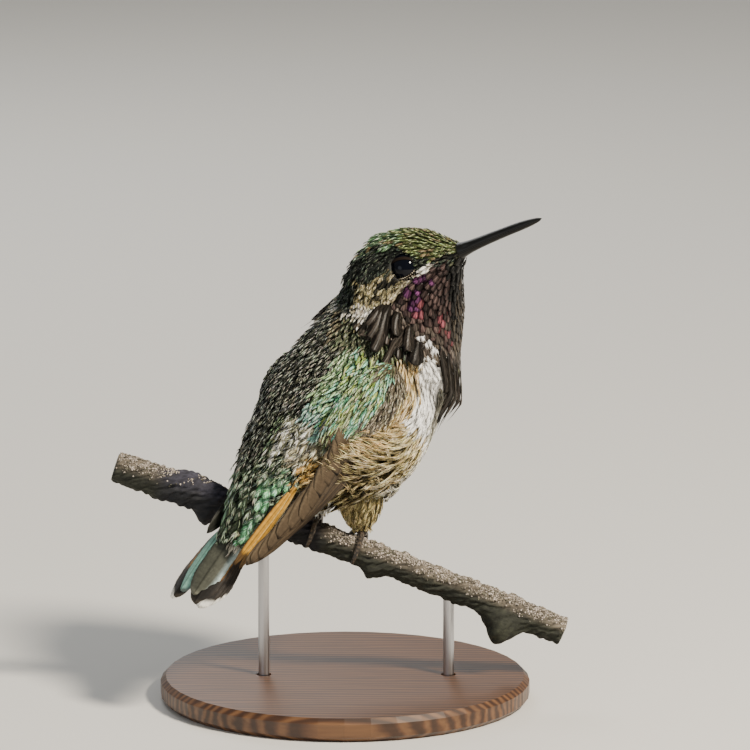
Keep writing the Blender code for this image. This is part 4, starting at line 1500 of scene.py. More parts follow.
@dataclass
class FlightFeather:
    """One flight feather: where it starts, which way it runs and faces, its sizes, and its colours.

    Lead is the share of its width before the shaft, curve bends it sideways, and blunt tells how late its tip
    narrows. The colours are its vane, its leading margin, its trailing margin and its tip.
    """

    root: ndarray
    along: ndarray
    face: ndarray
    length: float
    width: float
    droop: float = 0.5
    curve: float = 0.0
    lead: float = 0.35
    blunt: float = 0.6
    vane: str = "5a4d3c"
    front: str = "5a4d3c"
    back: str = "5a4d3c"
    tip: str = "5a4d3c"
    tip_from: float = 2.0
    base: str | None = None
    base_to: float = 0.0
    gloss: float = 0.0
    thick: float = 0.13
    # How much darker its edges and tip are painted: painted shadow where the next feather overlaps.
    rim: float = 0.0
    cup: float = 0.03

    def add(self, flock: Flock, cell: int, rng: Generator, stations: int = 34, across: int = 6) -> None:
        """Adds the feather's blade and its shaft to a flock.

        Args:
            flock: where the triangles go.
            cell: which strip of the baked unwrap it takes.
            rng: the source of its splits.
            stations: how many steps it has along its length.
            across: how many steps it has on each side of its shaft.
        """
        side = unit(np.cross(self.along, self.face))
        s = np.linspace(0, 1, stations + 1)
        share = np.sin(np.pi / 2 * np.minimum(1, 0.3 + 1.9 * s))
        taper = np.sqrt(np.clip(1 - (np.maximum(0, s - self.blunt) / (1 - self.blunt)) ** 2.2, 0.004, 1))
        half = self.width * share * taper
        notch = 1 - 0.06 * rng.random((2, stations + 1)) * (s > 0.25)
        v = np.linspace(-1, 1, 2 * across + 1)
        lead = np.where(v < 0, self.lead, 1 - self.lead)
        w = v[None] * lead[None] * half[:, None]
        w = w * np.where(v[None] < 0, notch[0][:, None], notch[1][:, None]) ** (np.abs(v[None]) ** 3)
        bow = self.curve * self.length * (s * s)[:, None]
        middle = self.root + self.along * (self.length * s)[:, None]
        middle = middle - self.face * (self.droop * s * s)[:, None]
        ridge = 0.09 * bell(v, 0.0, 0.12) * (1 - 0.7 * s)[:, None]
        cup = -self.cup * self.width * (np.abs(v) ** 1.7)[None] * np.ones_like(s)[:, None]
        wave = 0.012 * np.sin(34 * (s[:, None] * self.length - 0.8 * np.abs(w))) * (np.abs(v) > 0.1)
        level = (ridge + cup + wave)[..., None] * self.face
        sheet = middle[:, None] + side * (w + bow)[..., None] + level
        thick = self.thick * (1 - 0.75 * np.abs(v) ** 2)[None, :, None] * (0.55 + 0.45 * taper)[:, None, None]
        top = sheet + self.face * thick / 2
        low = sheet - self.face * thick / 2
        rows, n = stations + 1, 2 * across + 1
        points = np.concatenate([top, low[:, ::-1]], axis=1).reshape(1, -1, 3) * MM
        faces = tube_faces(rows, 2 * n, tip=False)
        colour = self.paint(s, v) * rng.uniform(0.9, 1.1, (rows, 1, 1))
        both = np.concatenate([colour, colour[:, ::-1] * 0.8], axis=1).reshape(1, -1, 3)
        vv = np.concatenate([v, v[::-1]])[None] * np.ones((rows, 1))
        ss = s[:, None] * np.ones((1, 2 * n))
        vane = np.stack([vv * self.width * 0.5, ss * self.length], axis=-1).reshape(1, -1, 2)
        bake = np.stack([0.02 + 0.045 * cell + 0.018 * (vv + 1), 0.03 + 0.9 * ss], axis=-1).reshape(1, -1, 2)
        flock.add(points, faces, both, np.full((1, 1), self.gloss), vane, bake)

    def paint(self, s: ndarray, v: ndarray) -> ndarray:
        """Colours its upper face.

        Args:
            s: the steps along it, from 0 to 1.
            v: the steps across it, from -1 to 1.

        Returns:
            A colour for each step along and each step across.
        """
        far, side = s[:, None], np.abs(v)[None]
        layers = [
            (self.front, ease((-v - 0.62) / 0.25)[None] + 0 * far),
            (self.back, ease((v - 0.62) / 0.25)[None] + 0 * far),
            (self.tip, ease((far - self.tip_from + 0.06 * side) / 0.06)),
        ]
        if self.base:
            layers.insert(0, (self.base, ease((self.base_to - far + 0.1 * side) / 0.12)))
        colour = np.broadcast_to(tone(self.vane), (len(s), len(v), 3))
        for code, amount in layers:
            colour = colour * (1 - amount[..., None]) + tone(code) * amount[..., None]
        shaft = bell(v, 0.0, 0.07)[None, :, None] * 0.55
        # The rim is painted darker along the edges and the last of the tip: painted shadow where feathers
        # overlap.
        rim = np.maximum(ease((side - 0.88) / 0.08), ease((far * self.length - self.length + 0.45) / 0.15))
        return colour * (1 - shaft) * (1 - self.rim * rim[..., None])


# The way that the wings' own sides are told by, in degrees, and the span that their lengths are measured on.
WING_PITCH, WING_HEADING = 46.0, 38.0
WING_SPAN = 32.2


class Arm(Surface):
    """A folded wing's arm, over (1 at the wrist to 0 at its end, angle from its leading edge outwards)."""

    step = (0.01, 0.5)

    def __init__(
        self, turn: int, wrist: tuple[float, float], lift: float, tip: tuple[float, float, float]
    ) -> None:
        """Places the wing.

        Args:
            turn: 1 for the right wing, -1 for the left one.
            wrist: where its wrist lies on the body, as (t, angle).
            lift: how far the wrist stands off the body, in millimetres.
            tip: its tip's place from the top of the twig.
        """
        self.turn = turn
        self.wrist = Body().point(np.array(wrist[0]), np.array(wrist[1]), np.array(lift)) / MM
        reach = np.array(tip) + TWIG_TOP - self.wrist
        self.along, self.span = unit(reach), float(np.linalg.norm(reach))
        row = np.array([0.0, 0, 0, WING_PITCH, WING_HEADING, 0, 1, 1, 1])
        right = Body.axes(row)[1] * turn
        self.out = unit(right - self.along * np.dot(right, self.along))
        self.down = np.cross(self.out, self.along) * turn

    def point(self, u: ndarray, v: ndarray, lift: ndarray) -> ndarray:
        """Gives points of the arm.

        Args:
            u: places along it.
            v: angles round it.
            lift: how far they are raised, in millimetres.

        Returns:
            The points in metres.
        """
        s, a = np.clip(1 - np.asarray(u, dtype=float), 0, 1.3), np.radians(v)
        nose = np.sqrt(1 - (1 - np.minimum(1, 0.06 + s / 0.22)) ** 2)
        half = 4.6 * nose * np.sin(np.pi * np.clip(0.18 + 0.6 * s, 0, 0.98)) ** 0.8
        swell = 2.3 * nose * np.sin(np.pi * np.minimum(1, 0.16 + 0.9 * s)) + 0.5 * nose
        middle = self.wrist + self.along * (self.span * (0.44 * s - 0.04))[..., None]
        middle = middle + self.out * (0.55 * swell - 0.6)[..., None]
        deep = 0.45 * swell + 0.75 * nose
        c, n = np.cos(a), np.sin(a)
        side = self.down * ((half + lift) * c)[..., None] + self.out * ((deep + lift) * n)[..., None]
        return MM * (middle + side)

    def chart(self, u: ndarray, v: ndarray) -> ndarray:
        """Gives places beside the flight feathers' strips."""
        return np.stack([(v % 360) / 360 * 0.1 + 0.89, u * 0.9 + 0.03], axis=-1)


PRIMARIES = 10
# How far along and down the wing the feathers' tips lie: primaries from the outermost, then secondaries.
WING_TIPS = (
    (32.2, 0.1), (31.6, 0.4), (30.4, 0.9), (28.6, 1.1), (26.7, 1.1), (24.7, 1.8), (22.8, 2.4), (20.8, 2.4),
    (18.9, 2.2), (17.0, 2.2), (15.2, 2.2), (13.6, 1.7), (12.0, 1.3),
)


@dataclass
class Wing:
    """A folded wing: ten primaries, three secondaries, and the coverts over its arm."""

    name: str
    arm: Arm
    finish: Material
    coat: Coat
    rows: int = 30
    sides: int = 36

    def place(self, along: float, down: float, out: float) -> ndarray:
        """Gives a place by how far it lies from the wrist, in the right wing's millimetres."""
        arm = self.arm
        return arm.wrist + arm.along * (along * arm.span / WING_SPAN) + arm.down * down + arm.out * out

    def quills(self) -> list[FlightFeather]:
        """Lays out the flight feathers.

        Returns:
            The feathers, the longest and lowest first, the innermost on top.
        """
        made, right = [], self.arm.turn > 0
        # The left wing's darker colours are painted shade, as that wing lies away from the light.
        vane, edge, pale = ("4d4030", "33291f", "5f513e") if right else ("2a2a26", "1b1b1d", "3e3e38")
        for k, (reach, drop) in enumerate(WING_TIPS):
            inner = min(k, PRIMARIES - 1) / (PRIMARIES - 1)
            if k < PRIMARIES:
                root = self.place(7.6, 0.9 + 3.9 * (1 - inner) ** 1.3, 0.2 + 0.07 * k)
            else:
                root = self.place(7.4 - 0.1 * (k - PRIMARIES), 0.9 - 0.3 * (k - PRIMARIES), 0.9)
            bow = 3.3 * (1 - inner) ** 1.5
            line = self.place(reach, drop + bow, -0.45 + 0.14 * k) - root
            length = float(np.linalg.norm(line))
            face = unit(self.arm.out + self.arm.down * (0.03 * min(k, 6) - 0.1))
            width = (2.9 + 1.2 * inner) * (1.0 if right else 0.82)
            quill = FlightFeather(
                root, unit(line), face, length, width, 0.1, bow / length * self.arm.turn, 0.34 - 0.18 * inner,
                max(0.6, 1 - 6.5 / length), vane, edge, pale, vane,
                # Darker painted rims, painted shadow along the overlapping edges, strongest on four of the
                # feathers.
                gloss=0.05, rim=0.95 if k in (4, 6, 8, 10) else 0.4,
            )
            made.append(quill)
        return made

    def build(self) -> None:
        """Builds the wing in place of the model's."""
        rng = default_rng(SEED + 11 + self.arm.turn)
        flock = Flock()
        for cell, quill in enumerate(self.quills()):
            if self.arm.turn < 0:
                quill.lead = 1 - quill.lead
                quill.front, quill.back = quill.back, quill.front
            quill.add(flock, cell, rng)
        u, v = np.linspace(0.02, 0.995, self.rows), np.linspace(0, 360, self.sides, endpoint=False)
        gu, gv = np.meshgrid(u, v, indexing="ij")
        points = self.arm.point(gu, gv, -0.35 + 0 * gu).reshape(1, -1, 3)
        faces = tube_faces(self.rows, self.sides, tip=False)
        if self.arm.turn > 0:
            faces = faces[:, ::-1]
        colour = np.broadcast_to(tone("4c4434"), points.shape)
        bake = self.arm.chart(gu, gv).reshape(1, -1, 2)
        flock.add(points, faces, colour, np.zeros((1, 1)), np.zeros((1, 1, 2)), bake)
        made = flock.mesh(f"{self.name}_feathers", self.finish)
        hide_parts(self.name)
        self.coverts(rng)

    def beside(self, u: ndarray, v: ndarray) -> tuple[ndarray, ndarray]:
        """Finds the places on the body that lie nearest to places on the arm.

        Args:
            u: places along the arm.
            v: angles round it.

        Returns:
            The places on the body, as arrays of t and of angles.
        """
        grid = np.meshgrid(np.linspace(1.6, 5.4, 90), np.linspace(22, 124, 60), indexing="ij")
        t, a = (part.ravel() for part in grid)
        body = Body().point(t, a * self.arm.turn, 0.5 + 0 * t)
        spots = self.arm.point(u, v, 0 * u)
        near = np.array([np.argmin(np.sum((body - spot) ** 2, axis=-1)) for spot in spots])
        return t[near], a[near] * self.arm.turn

    def coverts(self, rng: Generator) -> None:
        """Covers the arm's outer face with small feathers, coloured as the plumage beside them.

        Args:
            rng: the source of their variation.
        """
        u, v = scatter(self.arm, (0.12, 0.99), (-35, 215), 0.46 / self.coat.share, rng)
        n = len(u)
        size = 1.0 + 0.6 * ease((0.85 - u) / 0.6)
        length, width = size * 1.5 * rng.uniform(0.85, 1.15, n), size * 0.5
        turn, high = rng.normal(0, 8, n), rng.uniform(-0.12, 0.04, n)
        t, a = self.beside(u, v)
        tones = plumage(t, a, rng)
        brown = t < 2.5 + rng.uniform(-0.2, 0.2, n)
        tones.lay(brown, blend("40372c", "786a55", rng.random((n, 1))), "a19078", 0.0)
        patch = Patch(u, v, length, width, turn, np.full(n, -0.35), high, tones, 0.08 + 0 * u)
        flock = Flock()
        Planting(flock, self.arm, patch, WING_COVERT, rng).grow()
        made = flock.mesh(f"{self.name}_coverts", self.coat.finish)


# Tail feathers from the middle pair outwards: length past the tail's root, width, and fan angle.
RECTRICES = ((11.2, 4.4, 1.0), (12.1, 4.6, 3.6), (12.3, 4.4, 6.2), (11.5, 4.0, 8.8), (10.5, 3.6, 11.5))


@dataclass
class Tail:
    """Ten tail feathers. The right half slopes down like a roof, and the left one lies wide and flat."""

    finish: Material
    pitch: float = 43.0
    heading: float = 38.0
    slopes: tuple[float, float] = (24.0, 5.0)

    def build(self) -> None:
        """Builds the tail in place of the model's."""
        rng = default_rng(SEED + 21)
        row = np.array([0.0, 0, 0, self.pitch, self.heading, 0, 1, 1, 1])
        forward, right, up = Body.axes(row)
        root = Body.read(np.array(0.0))[:3] + TWIG_TOP + forward * 1.2 - right * 1.7
        flock = Flock()
        for turn in (1, -1):
            slope = math.radians(self.slopes[0] if turn > 0 else self.slopes[1])
            side = right * (turn * math.cos(slope)) - up * math.sin(slope)
            face = unit(up * math.cos(slope) + right * (turn * math.sin(slope)))
            for k, (length, width, fan) in enumerate(RECTRICES):
                angle = math.radians(fan * (1.15 if turn < 0 else 1.0))
                along = unit(-forward * math.cos(angle) + side * math.sin(angle))
                spread = 0.16 * k if turn > 0 else 0.3 * k
                start = root + side * ((0.9 if turn > 0 else 2.0) + spread)
                start = start - face * (0.24 * k + (0.17 if turn < 0 else 0))
                quill = FlightFeather(start, along, face, length, width * 0.95, 0.6, 0.0, 0.5, 0.62, cup=0.1)
                self.colour(quill, k, turn)
                quill.add(flock, len(RECTRICES) * (turn < 0) + k, rng, 40, 7)
        for k in range(2):
            spot = (1.3 - 0.15 * k, 90.0 - 5 * k, 0.6 + 0.15 * k)
            start = Body(swell=False).point(*(np.array(part) for part in spot)) / MM
            line = np.array([-14.0 - 0.7 * k, -13.0, PERCH_TOP - 2.0 + 0.5 * k]) - start
            strip = FlightFeather(
                start, unit(line), unit(right + up * 0.5), float(np.linalg.norm(line)), 1.2, 0.2, 0.0,
                0.5, 0.55, "cf993a", "f3d082", "6e4f28", "5c4527", 0.82, gloss=0.05, rim=0.3, cup=0.06,
            )
            strip.add(flock, 2 * len(RECTRICES) + k, rng, 40, 5)
        made = flock.mesh("tail_feathers", self.finish)
        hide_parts("tail")

    @staticmethod
    def colour(quill: FlightFeather, k: int, turn: int) -> None:
        """Colours one feather.

        Args:
            quill: the feather.
            k: how many places it lies out from the middle.
            turn: 1 on the right side, -1 on the left.
        """
        quill.gloss = 0.1
        if k > 0:
            quill.base, quill.base_to = "b98442", 0.66 - 0.05 * k
            quill.vane, quill.front, quill.back = "1f1c19", "2f2a25", "4a4136"
            quill.tip, quill.tip_from = ("ece9e0", 0.9) if k > 1 else ("3d372f", 0.95)
        elif turn > 0:
            quill.vane, quill.front, quill.back = "4c4d43", "9fb0ae", "43443b"
            quill.tip, quill.tip_from = "6b6a5c", 0.93
        else:
            quill.vane, quill.front, quill.back = "8cbcab", "4a6a62", "171917"
            quill.tip, quill.tip_from, quill.gloss = "5b6a66", 0.95, 0.45


# The eyes, bill and feet.


def wrap(
    name: str, steps: tuple[int, int], shape: Places, finish: Material
) -> Object:
    """Rolls a grid into a closed round piece.

    Args:
        name: the piece's name.
        steps: how many faces it has along its length and around it.
        shape: gives points in metres for arrays of places, both from 0 to 1, along its length and around it.
        finish: its material.

    Returns:
        The finished piece.
    """
    deselect()
    bpy.ops.mesh.primitive_grid_add(x_subdivisions=steps[0], y_subdivisions=steps[1], size=2.0)
    made = bpy.context.object
    flat = np.empty(len(made.data.vertices) * 3)
    made.data.vertices.foreach_get("co", flat)
    flat = (flat.reshape(-1, 3) + 1) / 2
    made.data.vertices.foreach_set("co", shape(flat[:, 0], flat[:, 1]).ravel())
    bpy.ops.object.mode_set(mode="EDIT")
    bpy.ops.mesh.select_all(action="SELECT")
    bpy.ops.mesh.remove_doubles(threshold=1e-6)
    bpy.ops.mesh.select_all(action="DESELECT")
    bpy.ops.mesh.select_non_manifold(extend=False, use_wire=False, use_boundary=True, use_multi_face=False)
    bpy.ops.mesh.edge_face_add()
    bpy.ops.mesh.select_all(action="SELECT")
    bpy.ops.mesh.normals_make_consistent(inside=False)
    bpy.ops.object.mode_set(mode="OBJECT")
    made.data.shade_smooth()
    made.data.set_sharp_from_angle(angle=math.radians(60))
    return settle(made, name, finish)


@dataclass
class Eyes:
    """Dark wet eyes, each in an almond opening with a fleshy rim and a dotted lower lid."""

    opening: tuple[float, float] = (1.95, 1.18)
    rim: tuple[float, float] = (2.1, 1.58)
    tilt: float = 0.3
    section: float = 0.25

    def build(self) -> None:
        """Models both eyes, their lids and the pale dots below them."""
        # Its black has a faint blue: a painted reflection.
        wet = Recipe("dark wet eye", 0.06, "05070f")
        wet.set("Specular IOR Level", 0.18)
        skin = Recipe("eyelid skin", 0.75, "1d1611")
        skin.set("Specular IOR Level", 0.08)
        skin.bump(skin.noise(5200.0), 0.5, 0.00004)
        pale = Recipe("pale lid edge", 0.55, "a39a86")
        body = Body(swell=False)
        for name, turn in (("right", 1), ("left", -1)):
            pu, _, out = body.tangents(np.array(EYE_AT[0]), np.array(turn * EYE_AT[1]))
            ahead = unit(pu - out * np.dot(pu, out))
            ahead = ahead * math.cos(self.tilt) - np.cross(out, ahead) * (math.sin(self.tilt) * turn)
            frame_at = Matrix(np.stack([ahead, np.cross(out, ahead), out], axis=1).tolist()).to_4x4()
            frame_at.translation = Vector(eye_middle(body, turn))
            settle(self.ball(frame_at), f"eyeball_{name}", wet.material)
            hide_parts(f"eye_{name}")
            settle(self.lid(frame_at), f"eyelid_{name}", skin.material)
            settle(self.dots(frame_at, turn), f"lid_dots_{name}", pale.material)

    @staticmethod
    def height(x: float, y: float) -> float:
        """Gives how high the eyeball stands at a place beside its axis, in millimetres."""
        return math.sqrt(EYE_RADIUS**2 - min(math.hypot(x, y), EYE_RADIUS - 0.05) ** 2)

    @staticmethod
    def ball(frame_at: Matrix) -> Object:
        """Shapes an eyeball with a raised cornea.

        Args:
            frame_at: its place, with the third axis outwards.

        Returns:
            The eyeball.
        """
        deselect()
        bpy.ops.mesh.primitive_uv_sphere_add(segments=72, ring_count=48, radius=EYE_RADIUS * MM)
        ball = bpy.context.object
        for p in ball.data.vertices:
            lean = math.acos(max(-1.0, min(1.0, p.co.z / (EYE_RADIUS * MM))))
            p.co *= 1 + 0.05 * math.exp(-((lean / 0.42) ** 4)) - 0.01
        ball.data.shade_smooth()
        ball.matrix_world = frame_at
        return ball

    def lid(self, frame_at: Matrix) -> Object:
        """Shapes the rim that hugs the eyeball round its opening.

        Args:
            frame_at: the eyeball's place.

        Returns:
            The rim.
        """
        deselect()
        bpy.ops.mesh.primitive_torus_add(
            major_segments=96, minor_segments=16, major_radius=1.0, minor_radius=self.section
        )
        lid = bpy.context.object
        for p in lid.data.vertices:
            x, y, z = p.co
            a, far = math.atan2(y, x), math.hypot(x, y) - 1
            share, level = (far / self.section + 1) / 2, z / self.section
            rx, ry = (low + (high - low) * share for low, high in zip(self.opening, self.rim))
            x, y = rx * math.cos(a), ry * math.sin(a)
            rise = self.height(x, y) + 0.03 + 0.09 * level + 0.02 * math.sin(23 * a) * share
            p.co = Vector((x, y, rise)) * MM
        lid.data.shade_smooth()
        lid.matrix_world = frame_at
        return lid

    def dots(self, frame_at: Matrix, turn: int) -> Object:
        """Sets two rows of small pale dots along the lower lid.

        Args:
            frame_at: the eyeball's place.
            turn: 1 for the right eye, -1 for the left one.

        Returns:
            The dots, as one piece.
        """
        beads = []
        for row, (reach, count) in enumerate(((1.0, 17), (1.2, 13))):
            for k in range(count):
                a = math.radians(-168 + 16 * row + (136 - 30 * row) * k / (count - 1)) * turn
                x = (self.opening[0] + 0.06) * reach * math.cos(a)
                y = (self.opening[1] + 0.12) * reach * math.sin(a)
                deselect()
                size = (0.085 + 0.03 * math.sin(5.1 * k + row)) * MM
                place = frame_at @ (Vector((x, y, self.height(x, y) + 0.12)) * MM)
                bpy.ops.mesh.primitive_ico_sphere_add(subdivisions=2, radius=size, location=place)
                bead = bpy.context.object
                bead.data.shade_smooth()
                for p in bead.data.vertices:
                    p.co.z *= 0.8
                beads.append(bead)
        choose(*beads)
        bpy.ops.object.join()
        return bpy.context.object


@dataclass
class Bill:
    """A slim bill in two halves that meet in a fine line, with a slit nostril on each side."""

    length: float = 12.3
    half_width: float = 0.95
    half_depth: float = 0.76
    gap: float = 0.03

    def build(self) -> None:
        """Builds both halves in place of the model's."""
        horn = Recipe("dark bill horn", 0.42, "0a0a09")
        horn.set("Specular IOR Level", 0.28)
        grain = horn.noise(900.0, 4.0, (0.35, 0.35, 1.0))
        horn.link(horn.ramp(grain, (0.3, "040404"), (0.75, "12120f")), "Base Color")
        horn.bump(grain, 0.25, 0.00003)
        for name, way in (("bill_upper", 1), ("bill_lower", -1)):
            made = wrap(f"{name}_horn", (90, 36), partial(self.point, way), horn.material)
            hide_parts(name)

    def point(self, way: int, s: ndarray, around: ndarray) -> ndarray:
        """Gives points of one half.

        Args:
            way: 1 for the upper half, -1 for the lower one.
            s: places from its root to its tip, from 0 to 1.
            around: places round it, from 0 to 1.

        Returns:
            The points in metres.
        """
        row = Body.read(np.array(10.0))
        forward, right, up = Body.axes(row)
        taper = (1 - 0.34 * s) * np.sqrt(np.maximum(0.012, 1 - (np.maximum(0, s - 0.7) / 0.3) ** 2))
        base = np.exp(-9 * s)
        a = 2 * np.pi * around
        upper, lower = (1.6, 0.62, 1.15, 1.0, 1.0), (1.5, 0.6, 0.9, 0.96, 0.985)
        steep, early, deep, wide, long = upper if way > 0 else lower
        flat = np.clip(np.sin(a) * steep + early, 0, 1)
        deep = self.half_depth * deep * taper * (1 + 0.42 * base)
        wide = self.half_width * taper * (1 + 0.35 * base) * wide
        height = np.where(np.sin(a) > 0, np.sin(a), 0.0) * deep
        slit = 0.16 * bell(s, 0.1, 0.05) * bell(np.abs(np.cos(a)), 0.86, 0.07) * (way > 0)
        run = -0.3 + (self.length * long + 0.6) * s
        middle = row[:3] + TWIG_TOP + forward * run[:, None] - up * (0.55 * s * s)[:, None]
        sideways = np.cos(a) * (wide * (0.9 + 0.1 * flat) - slit)
        return MM * (middle + right * sideways[:, None] + up * (way * (self.gap / 2 + height))[:, None])


@dataclass
class Feet:
    """Small dark feet, with scaled skin."""

    def build(self) -> None:
        """Dresses the feet."""
        skin = Recipe("scaled foot skin", 0.5, "4a3f35")
        where = skin.node("TexCoord").outputs["Object"]
        cells = skin.node("TexVoronoi", {"Vector": where, "Scale": 2600.0}).outputs["Distance"]
        skin.link(skin.ramp(cells, (0.0, "6b5d4d"), (0.6, "2a241e")), "Base Color")
        skin.bump(cells, 0.6, -0.00006)
        dress(skin.material, "foot_left", "foot_right")


# The twig and its stand.


@dataclass
class Perch:
    """A cut twig with ridged dark bark, and a pale crust of lichen along its top."""

    rows: int = 420
    sides: int = 132
    waves: int = 46
    grains: int = 13_000

    def relief(self, x: ndarray, a: ndarray) -> ndarray:
        """Gives how far the bark stands off the twig's plain form.

        Args:
            x: places along X.
            a: angles round the twig, from 0 to 360.

        Returns:
            The heights in millimetres.
        """
        r = np.radians(a)
        rng = default_rng(SEED + 31)
        rough = np.zeros_like(x)
        for _ in range(self.waves):
            fx = rng.uniform(0.5, 7.5)
            fa = rng.integers(1, 22)
            size = 0.16 / (1 + 0.5 * math.hypot(fx, fa * 0.45))
            rough = rough + size * np.sin(fx * x + fa * r + rng.uniform(0, 6.3))
        wave = np.sin(2.0 * x + 0.8 * np.sin(3 * r)) + 0.6 * np.sin(5.2 * x - 2 * np.sin(2 * r + x))
        folds = 0.07 * wave * bell(x, -18.5, 4.2)
        split = np.maximum(0, np.sin(9 * r + 0.35 * x + 0.9 * np.sin(0.8 * x))) ** 6
        cracks = -0.09 * split * ease((np.abs(a - 180) - 60) / -40)
        return 0.55 * rough + folds + cracks - 0.06

    def point(self, along: ndarray, around: ndarray) -> ndarray:
        """Gives points of the bark.

        Args:
            along: places from its left to its right end, from 0 to 1.
            around: places round it, from 0 to 1.

        Returns:
            The points in metres.
        """
        x = TWIG_ENDS[0] + (TWIG_ENDS[1] - TWIG_ENDS[0]) * along
        a = 360 * around
        end = np.minimum(ease((x - TWIG_ENDS[0]) / 0.25), ease((TWIG_ENDS[1] - x) / 0.25))
        return Twig().point(x, a, self.relief(x, a % 360.0) - 0.22 * (1 - end))

    def build(self) -> None:
        """Builds the twig in place of the model's."""
        made = wrap("perch_bark", (self.rows, self.sides), self.point, self.bark())
        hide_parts("perch")
        self.stain_and_shade(made)
        self.lichen(Twig())

    @staticmethod
    def stain_and_shade(made: Object) -> None:
        """Paints the bark: violet black on the left, brown green below, and greyer along its top; the lighter
        top and darker underside are painted light and shade.

        Args:
            made: the bark.
        """
        flat = np.empty(len(made.data.vertices) * 3)
        made.data.vertices.foreach_get("co", flat)
        spots = flat.reshape(-1, 3) / MM
        off = spots - twig_centre(spots[:, 0])
        # Painted light and shade: lighter along the top, darker below.
        upper = ease((off[:, 2] / np.linalg.norm(off, axis=1) + 0.1) / 0.9)[:, None]
        violet = window(spots[:, 0], -24, -4.5, 2.5)[:, None]
        colour = tone("25271d") * (1 - upper) + tone("6a6154") * upper
        deep = tone("15161a") * (1 - upper) + tone("2f2e38") * upper
        paint(made.data, colour * (1 - violet) + deep * violet, np.zeros(len(spots)))

    @staticmethod
    def bark() -> Material:
        """Makes rough bark in its own painted colours.

        Returns:
            Its material.
        """
        r = Recipe("ridged bark", 0.85, "3a342e")
        fine = r.noise(2300.0, 5.0, (0.6, 1.0, 1.0))
        broad = r.spread(r.noise(380.0, 4.0, (0.4, 1.0, 1.0)), 0.55, 1.4)
        r.link(r.multiply(r.multiply(r.tint(), broad), r.spread(fine, 0.5, 1.5)), "Base Color")
        r.bump(fine, 0.9, 0.00014)
        return r.material

    def lichen(self, twig: Twig) -> None:
        """Crusts the twig's upper side with small pale grains.

        Args:
            twig: the twig's form.
        """
        rng, n = default_rng(SEED + 32), self.grains
        x = rng.uniform(TWIG_ENDS[0] + 0.1, TWIG_ENDS[1] - 0.1, n)
        a = rng.normal(16, 38, n)
        patchy = np.sin(1.9 * x + 2.2 * np.sin(0.11 * a)) + np.sin(0.93 * x + 0.05 * a)
        patchy = patchy + 0.8 * np.sin(4.1 * x + 0.2 * a)
        bare = window(x, -22.5, -4.0, 2.0)
        keep = patchy > -1.6 + 3.2 * bare + 1.1 * ((a - 16) / 45) ** 2 + rng.normal(0, 0.5, n)
        keep = keep & (np.abs(a) < 105)
        x, a = x[keep], a[keep]
        size = rng.uniform(0.05, 0.15, len(x)) * (0.7 + 0.5 * rng.random(len(x)))
        pu, pv, out = twig.tangents(x, a)
        e1 = unit(pu)
        e2 = np.cross(out, e1)
        centre = twig.point(x, a, self.relief(x, a % 360.0) + 0.15 * size)
        spin = rng.uniform(0, 2 * math.pi, len(x))
        rows = []
        for ring, (reach, height) in enumerate(((1.0, -0.6), (0.85, 0.4))):
            for k in range(5):
                ang = spin + 2 * math.pi * (k + 0.5 * ring) / 5
                wide = size * reach * rng.uniform(0.75, 1.25, len(x))
                tall = size * height * rng.uniform(0.8, 1.2, len(x))
                flat = e1 * (np.cos(ang) * wide)[:, None] + e2 * (np.sin(ang) * wide)[:, None]
                rows.append(centre + MM * (flat + out * tall[:, None]))
        rows.append(centre + MM * out * (size * 0.75)[:, None])
        points = np.stack(rows, axis=1)
        mix = rng.random((len(x), 1))
        pale = rng.random((len(x), 1)) < 0.6
        colour = np.where(pale, blend("8f8478", "cfc3b8", mix), blend("403b33", "6f6c5b", mix))
        flock, each = Flock(), np.ones((1, points.shape[1], 1))
        chart = twig.chart(x, a)[:, None] * each
        nil = np.zeros((1, 1))
        flock.add(points, tube_faces(2, 5), colour[:, None] * each, nil, np.zeros((1, 1, 2)), chart)
        crust = Recipe("lichen crust", 0.9, "c9beb6")
        crust.link(crust.multiply(crust.tint(), crust.spread(crust.noise(3000.0), 0.8, 1.15)), "Base Color")
        made = flock.mesh("perch_lichen", crust.material)


@dataclass
class Stand:
    """The plain round base and its two rods."""

    def build(self) -> None:
        """Dresses the base and the rods."""
        wood = Recipe("waxed walnut", 0.42, "4a2f1d")
        where = wood.node("TexCoord").outputs["Object"]
        spread = wood.node("Mapping", {0: where, 3: (0.18, 1.0, 1.0)}).outputs[0]
        bands = {"Vector": spread, "Scale": 260.0, "Distortion": 6.0, "Detail": 3.0}
        wave = wood.node("TexWave", bands, bands_direction="Y").outputs["Fac"]
        grain = wood.noise(1500.0, 4.0, (0.06, 1.0, 1.0))
        base = wood.ramp(wave, (0.1, "3a2415"), (0.55, "553721"), (0.95, "6b4a2e"))
        wood.link(wood.multiply(base, wood.spread(grain, 0.75, 1.2)), "Base Color")
        wood.bump(grain, 0.25, 0.00003)
        wood.set("Coat Weight", 0.15)
        wood.set("Coat Roughness", 0.3)
        dress(wood.material, "stand_base")
        steel = Recipe("brushed steel", 0.3, "b9b9bc")
        steel.set("Metallic", 1.0)
        steel.bump(steel.noise(2400.0, 2.0, (1.0, 1.0, 0.03)), 0.12, 0.00002)
        dress(steel.material, "stand_rod_left", "stand_rod_right")


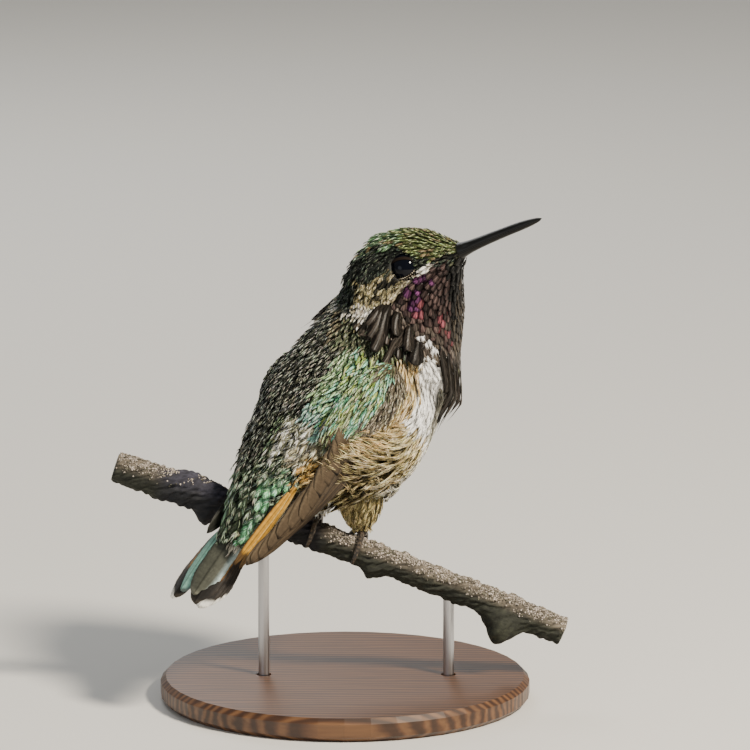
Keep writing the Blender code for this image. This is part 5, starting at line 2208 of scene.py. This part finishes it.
@dataclass
class Studio:
    """A plain pale floor, soft light, and the camera."""

    target: tuple[float, float, float] = (4.05, 4.41, 43.7)
    distance: float = 1125.0
    rise: float = 12.0
    lens: float = 400.0

    def light(
        self, name: str, place: tuple[float, float, float], size: float, power: float, colour: str
    ) -> Object:
        """Adds a soft lamp that faces the bird.

        Args:
            name: its name.
            place: where it hangs, in millimetres.
            size: its width in millimetres.
            power: its power in watts.
            colour: its colour.

        Returns:
            The lamp.
        """
        data = bpy.data.lights.new(name, "AREA")
        data.shape = "DISK"
        data.size = size * MM
        data.energy = power
        data.color = tuple(tone(colour))
        lamp = enter(bpy.data.objects.new(name, data))
        lamp.location = Vector(place) * MM
        lamp.rotation_euler = (lamp.location - Vector(self.target) * MM).to_track_quat("Z", "Y").to_euler()
        return lamp

    def build(self) -> None:
        """Lays the floor and sets the lamps and the camera."""
        deselect()
        bpy.ops.mesh.primitive_plane_add(size=3.0)
        floor = bpy.context.object
        floor.name = "studio_floor"
        pale = Recipe("studio floor", 0.8, "d9d7d2")
        floor.data.materials.append(pale.material)
        lamps = [
            self.light("key", (300, -230, 420), 110, 6.0, "fff4e2"),
            self.light("fill", (-420, -520, 160), 420, 0.75, "eef3ff"),
            self.light("back", (-120, 420, 320), 260, 0.9, "ffffff"),
        ]
        world = bpy.data.worlds.new("studio")
        world.use_nodes = True
        sky = world.node_tree.nodes["Background"].inputs
        sky["Color"].default_value = (*tone("e2e4e2"), 1.0)
        sky["Strength"].default_value = 0.37
        bpy.context.scene.world = world
        data = bpy.data.cameras.new("camera")
        data.lens, data.sensor_width, data.clip_start, data.clip_end = self.lens, 36.0, 0.01, 20.0
        camera = enter(bpy.data.objects.new("camera", data))
        rise = math.radians(self.rise)
        away = Vector((0, -math.cos(rise), math.sin(rise)))
        camera.location = (Vector(self.target) + away * self.distance) * MM
        camera.rotation_euler = away.to_track_quat("Z", "Y").to_euler()
        bpy.context.scene.camera = camera


def main() -> None:
    """Builds every sub-assembly in order."""
    logging.basicConfig(level=logging.INFO, format="%(message)s")
    share = 1.0
    feathers = Plumage("body feathers", 0.5, 34.0, 0.3).make()
    scales = Plumage("throat feathers", 0.42, 6.0, 2.1, 0.6, 0.6).make()
    flights = Plumage("flight feathers", 0.48, 30.0, 0.8, 0.22).make()
    skin = Skin()
    skin.build(feathers)
    coat = Coat(feathers, scales, skin, share)
    coat.build()
    for name, arm in (
        ("wing_right", Arm(1, (4.15, 86.0), 0.9, (-12.8, -15.4, -1.4))),
        ("wing_left", Arm(-1, (3.9, -95.0), 0.1, (-19.3, -7.4, 1.5))),
    ):
        Wing(name, arm, flights, coat).build()
    Tail(flights).build()
    Eyes().build()
    Bill().build()
    Feet().build()
    Perch().build()
    Stand().build()
    Studio().build()


if __name__ == "__main__":
    main()
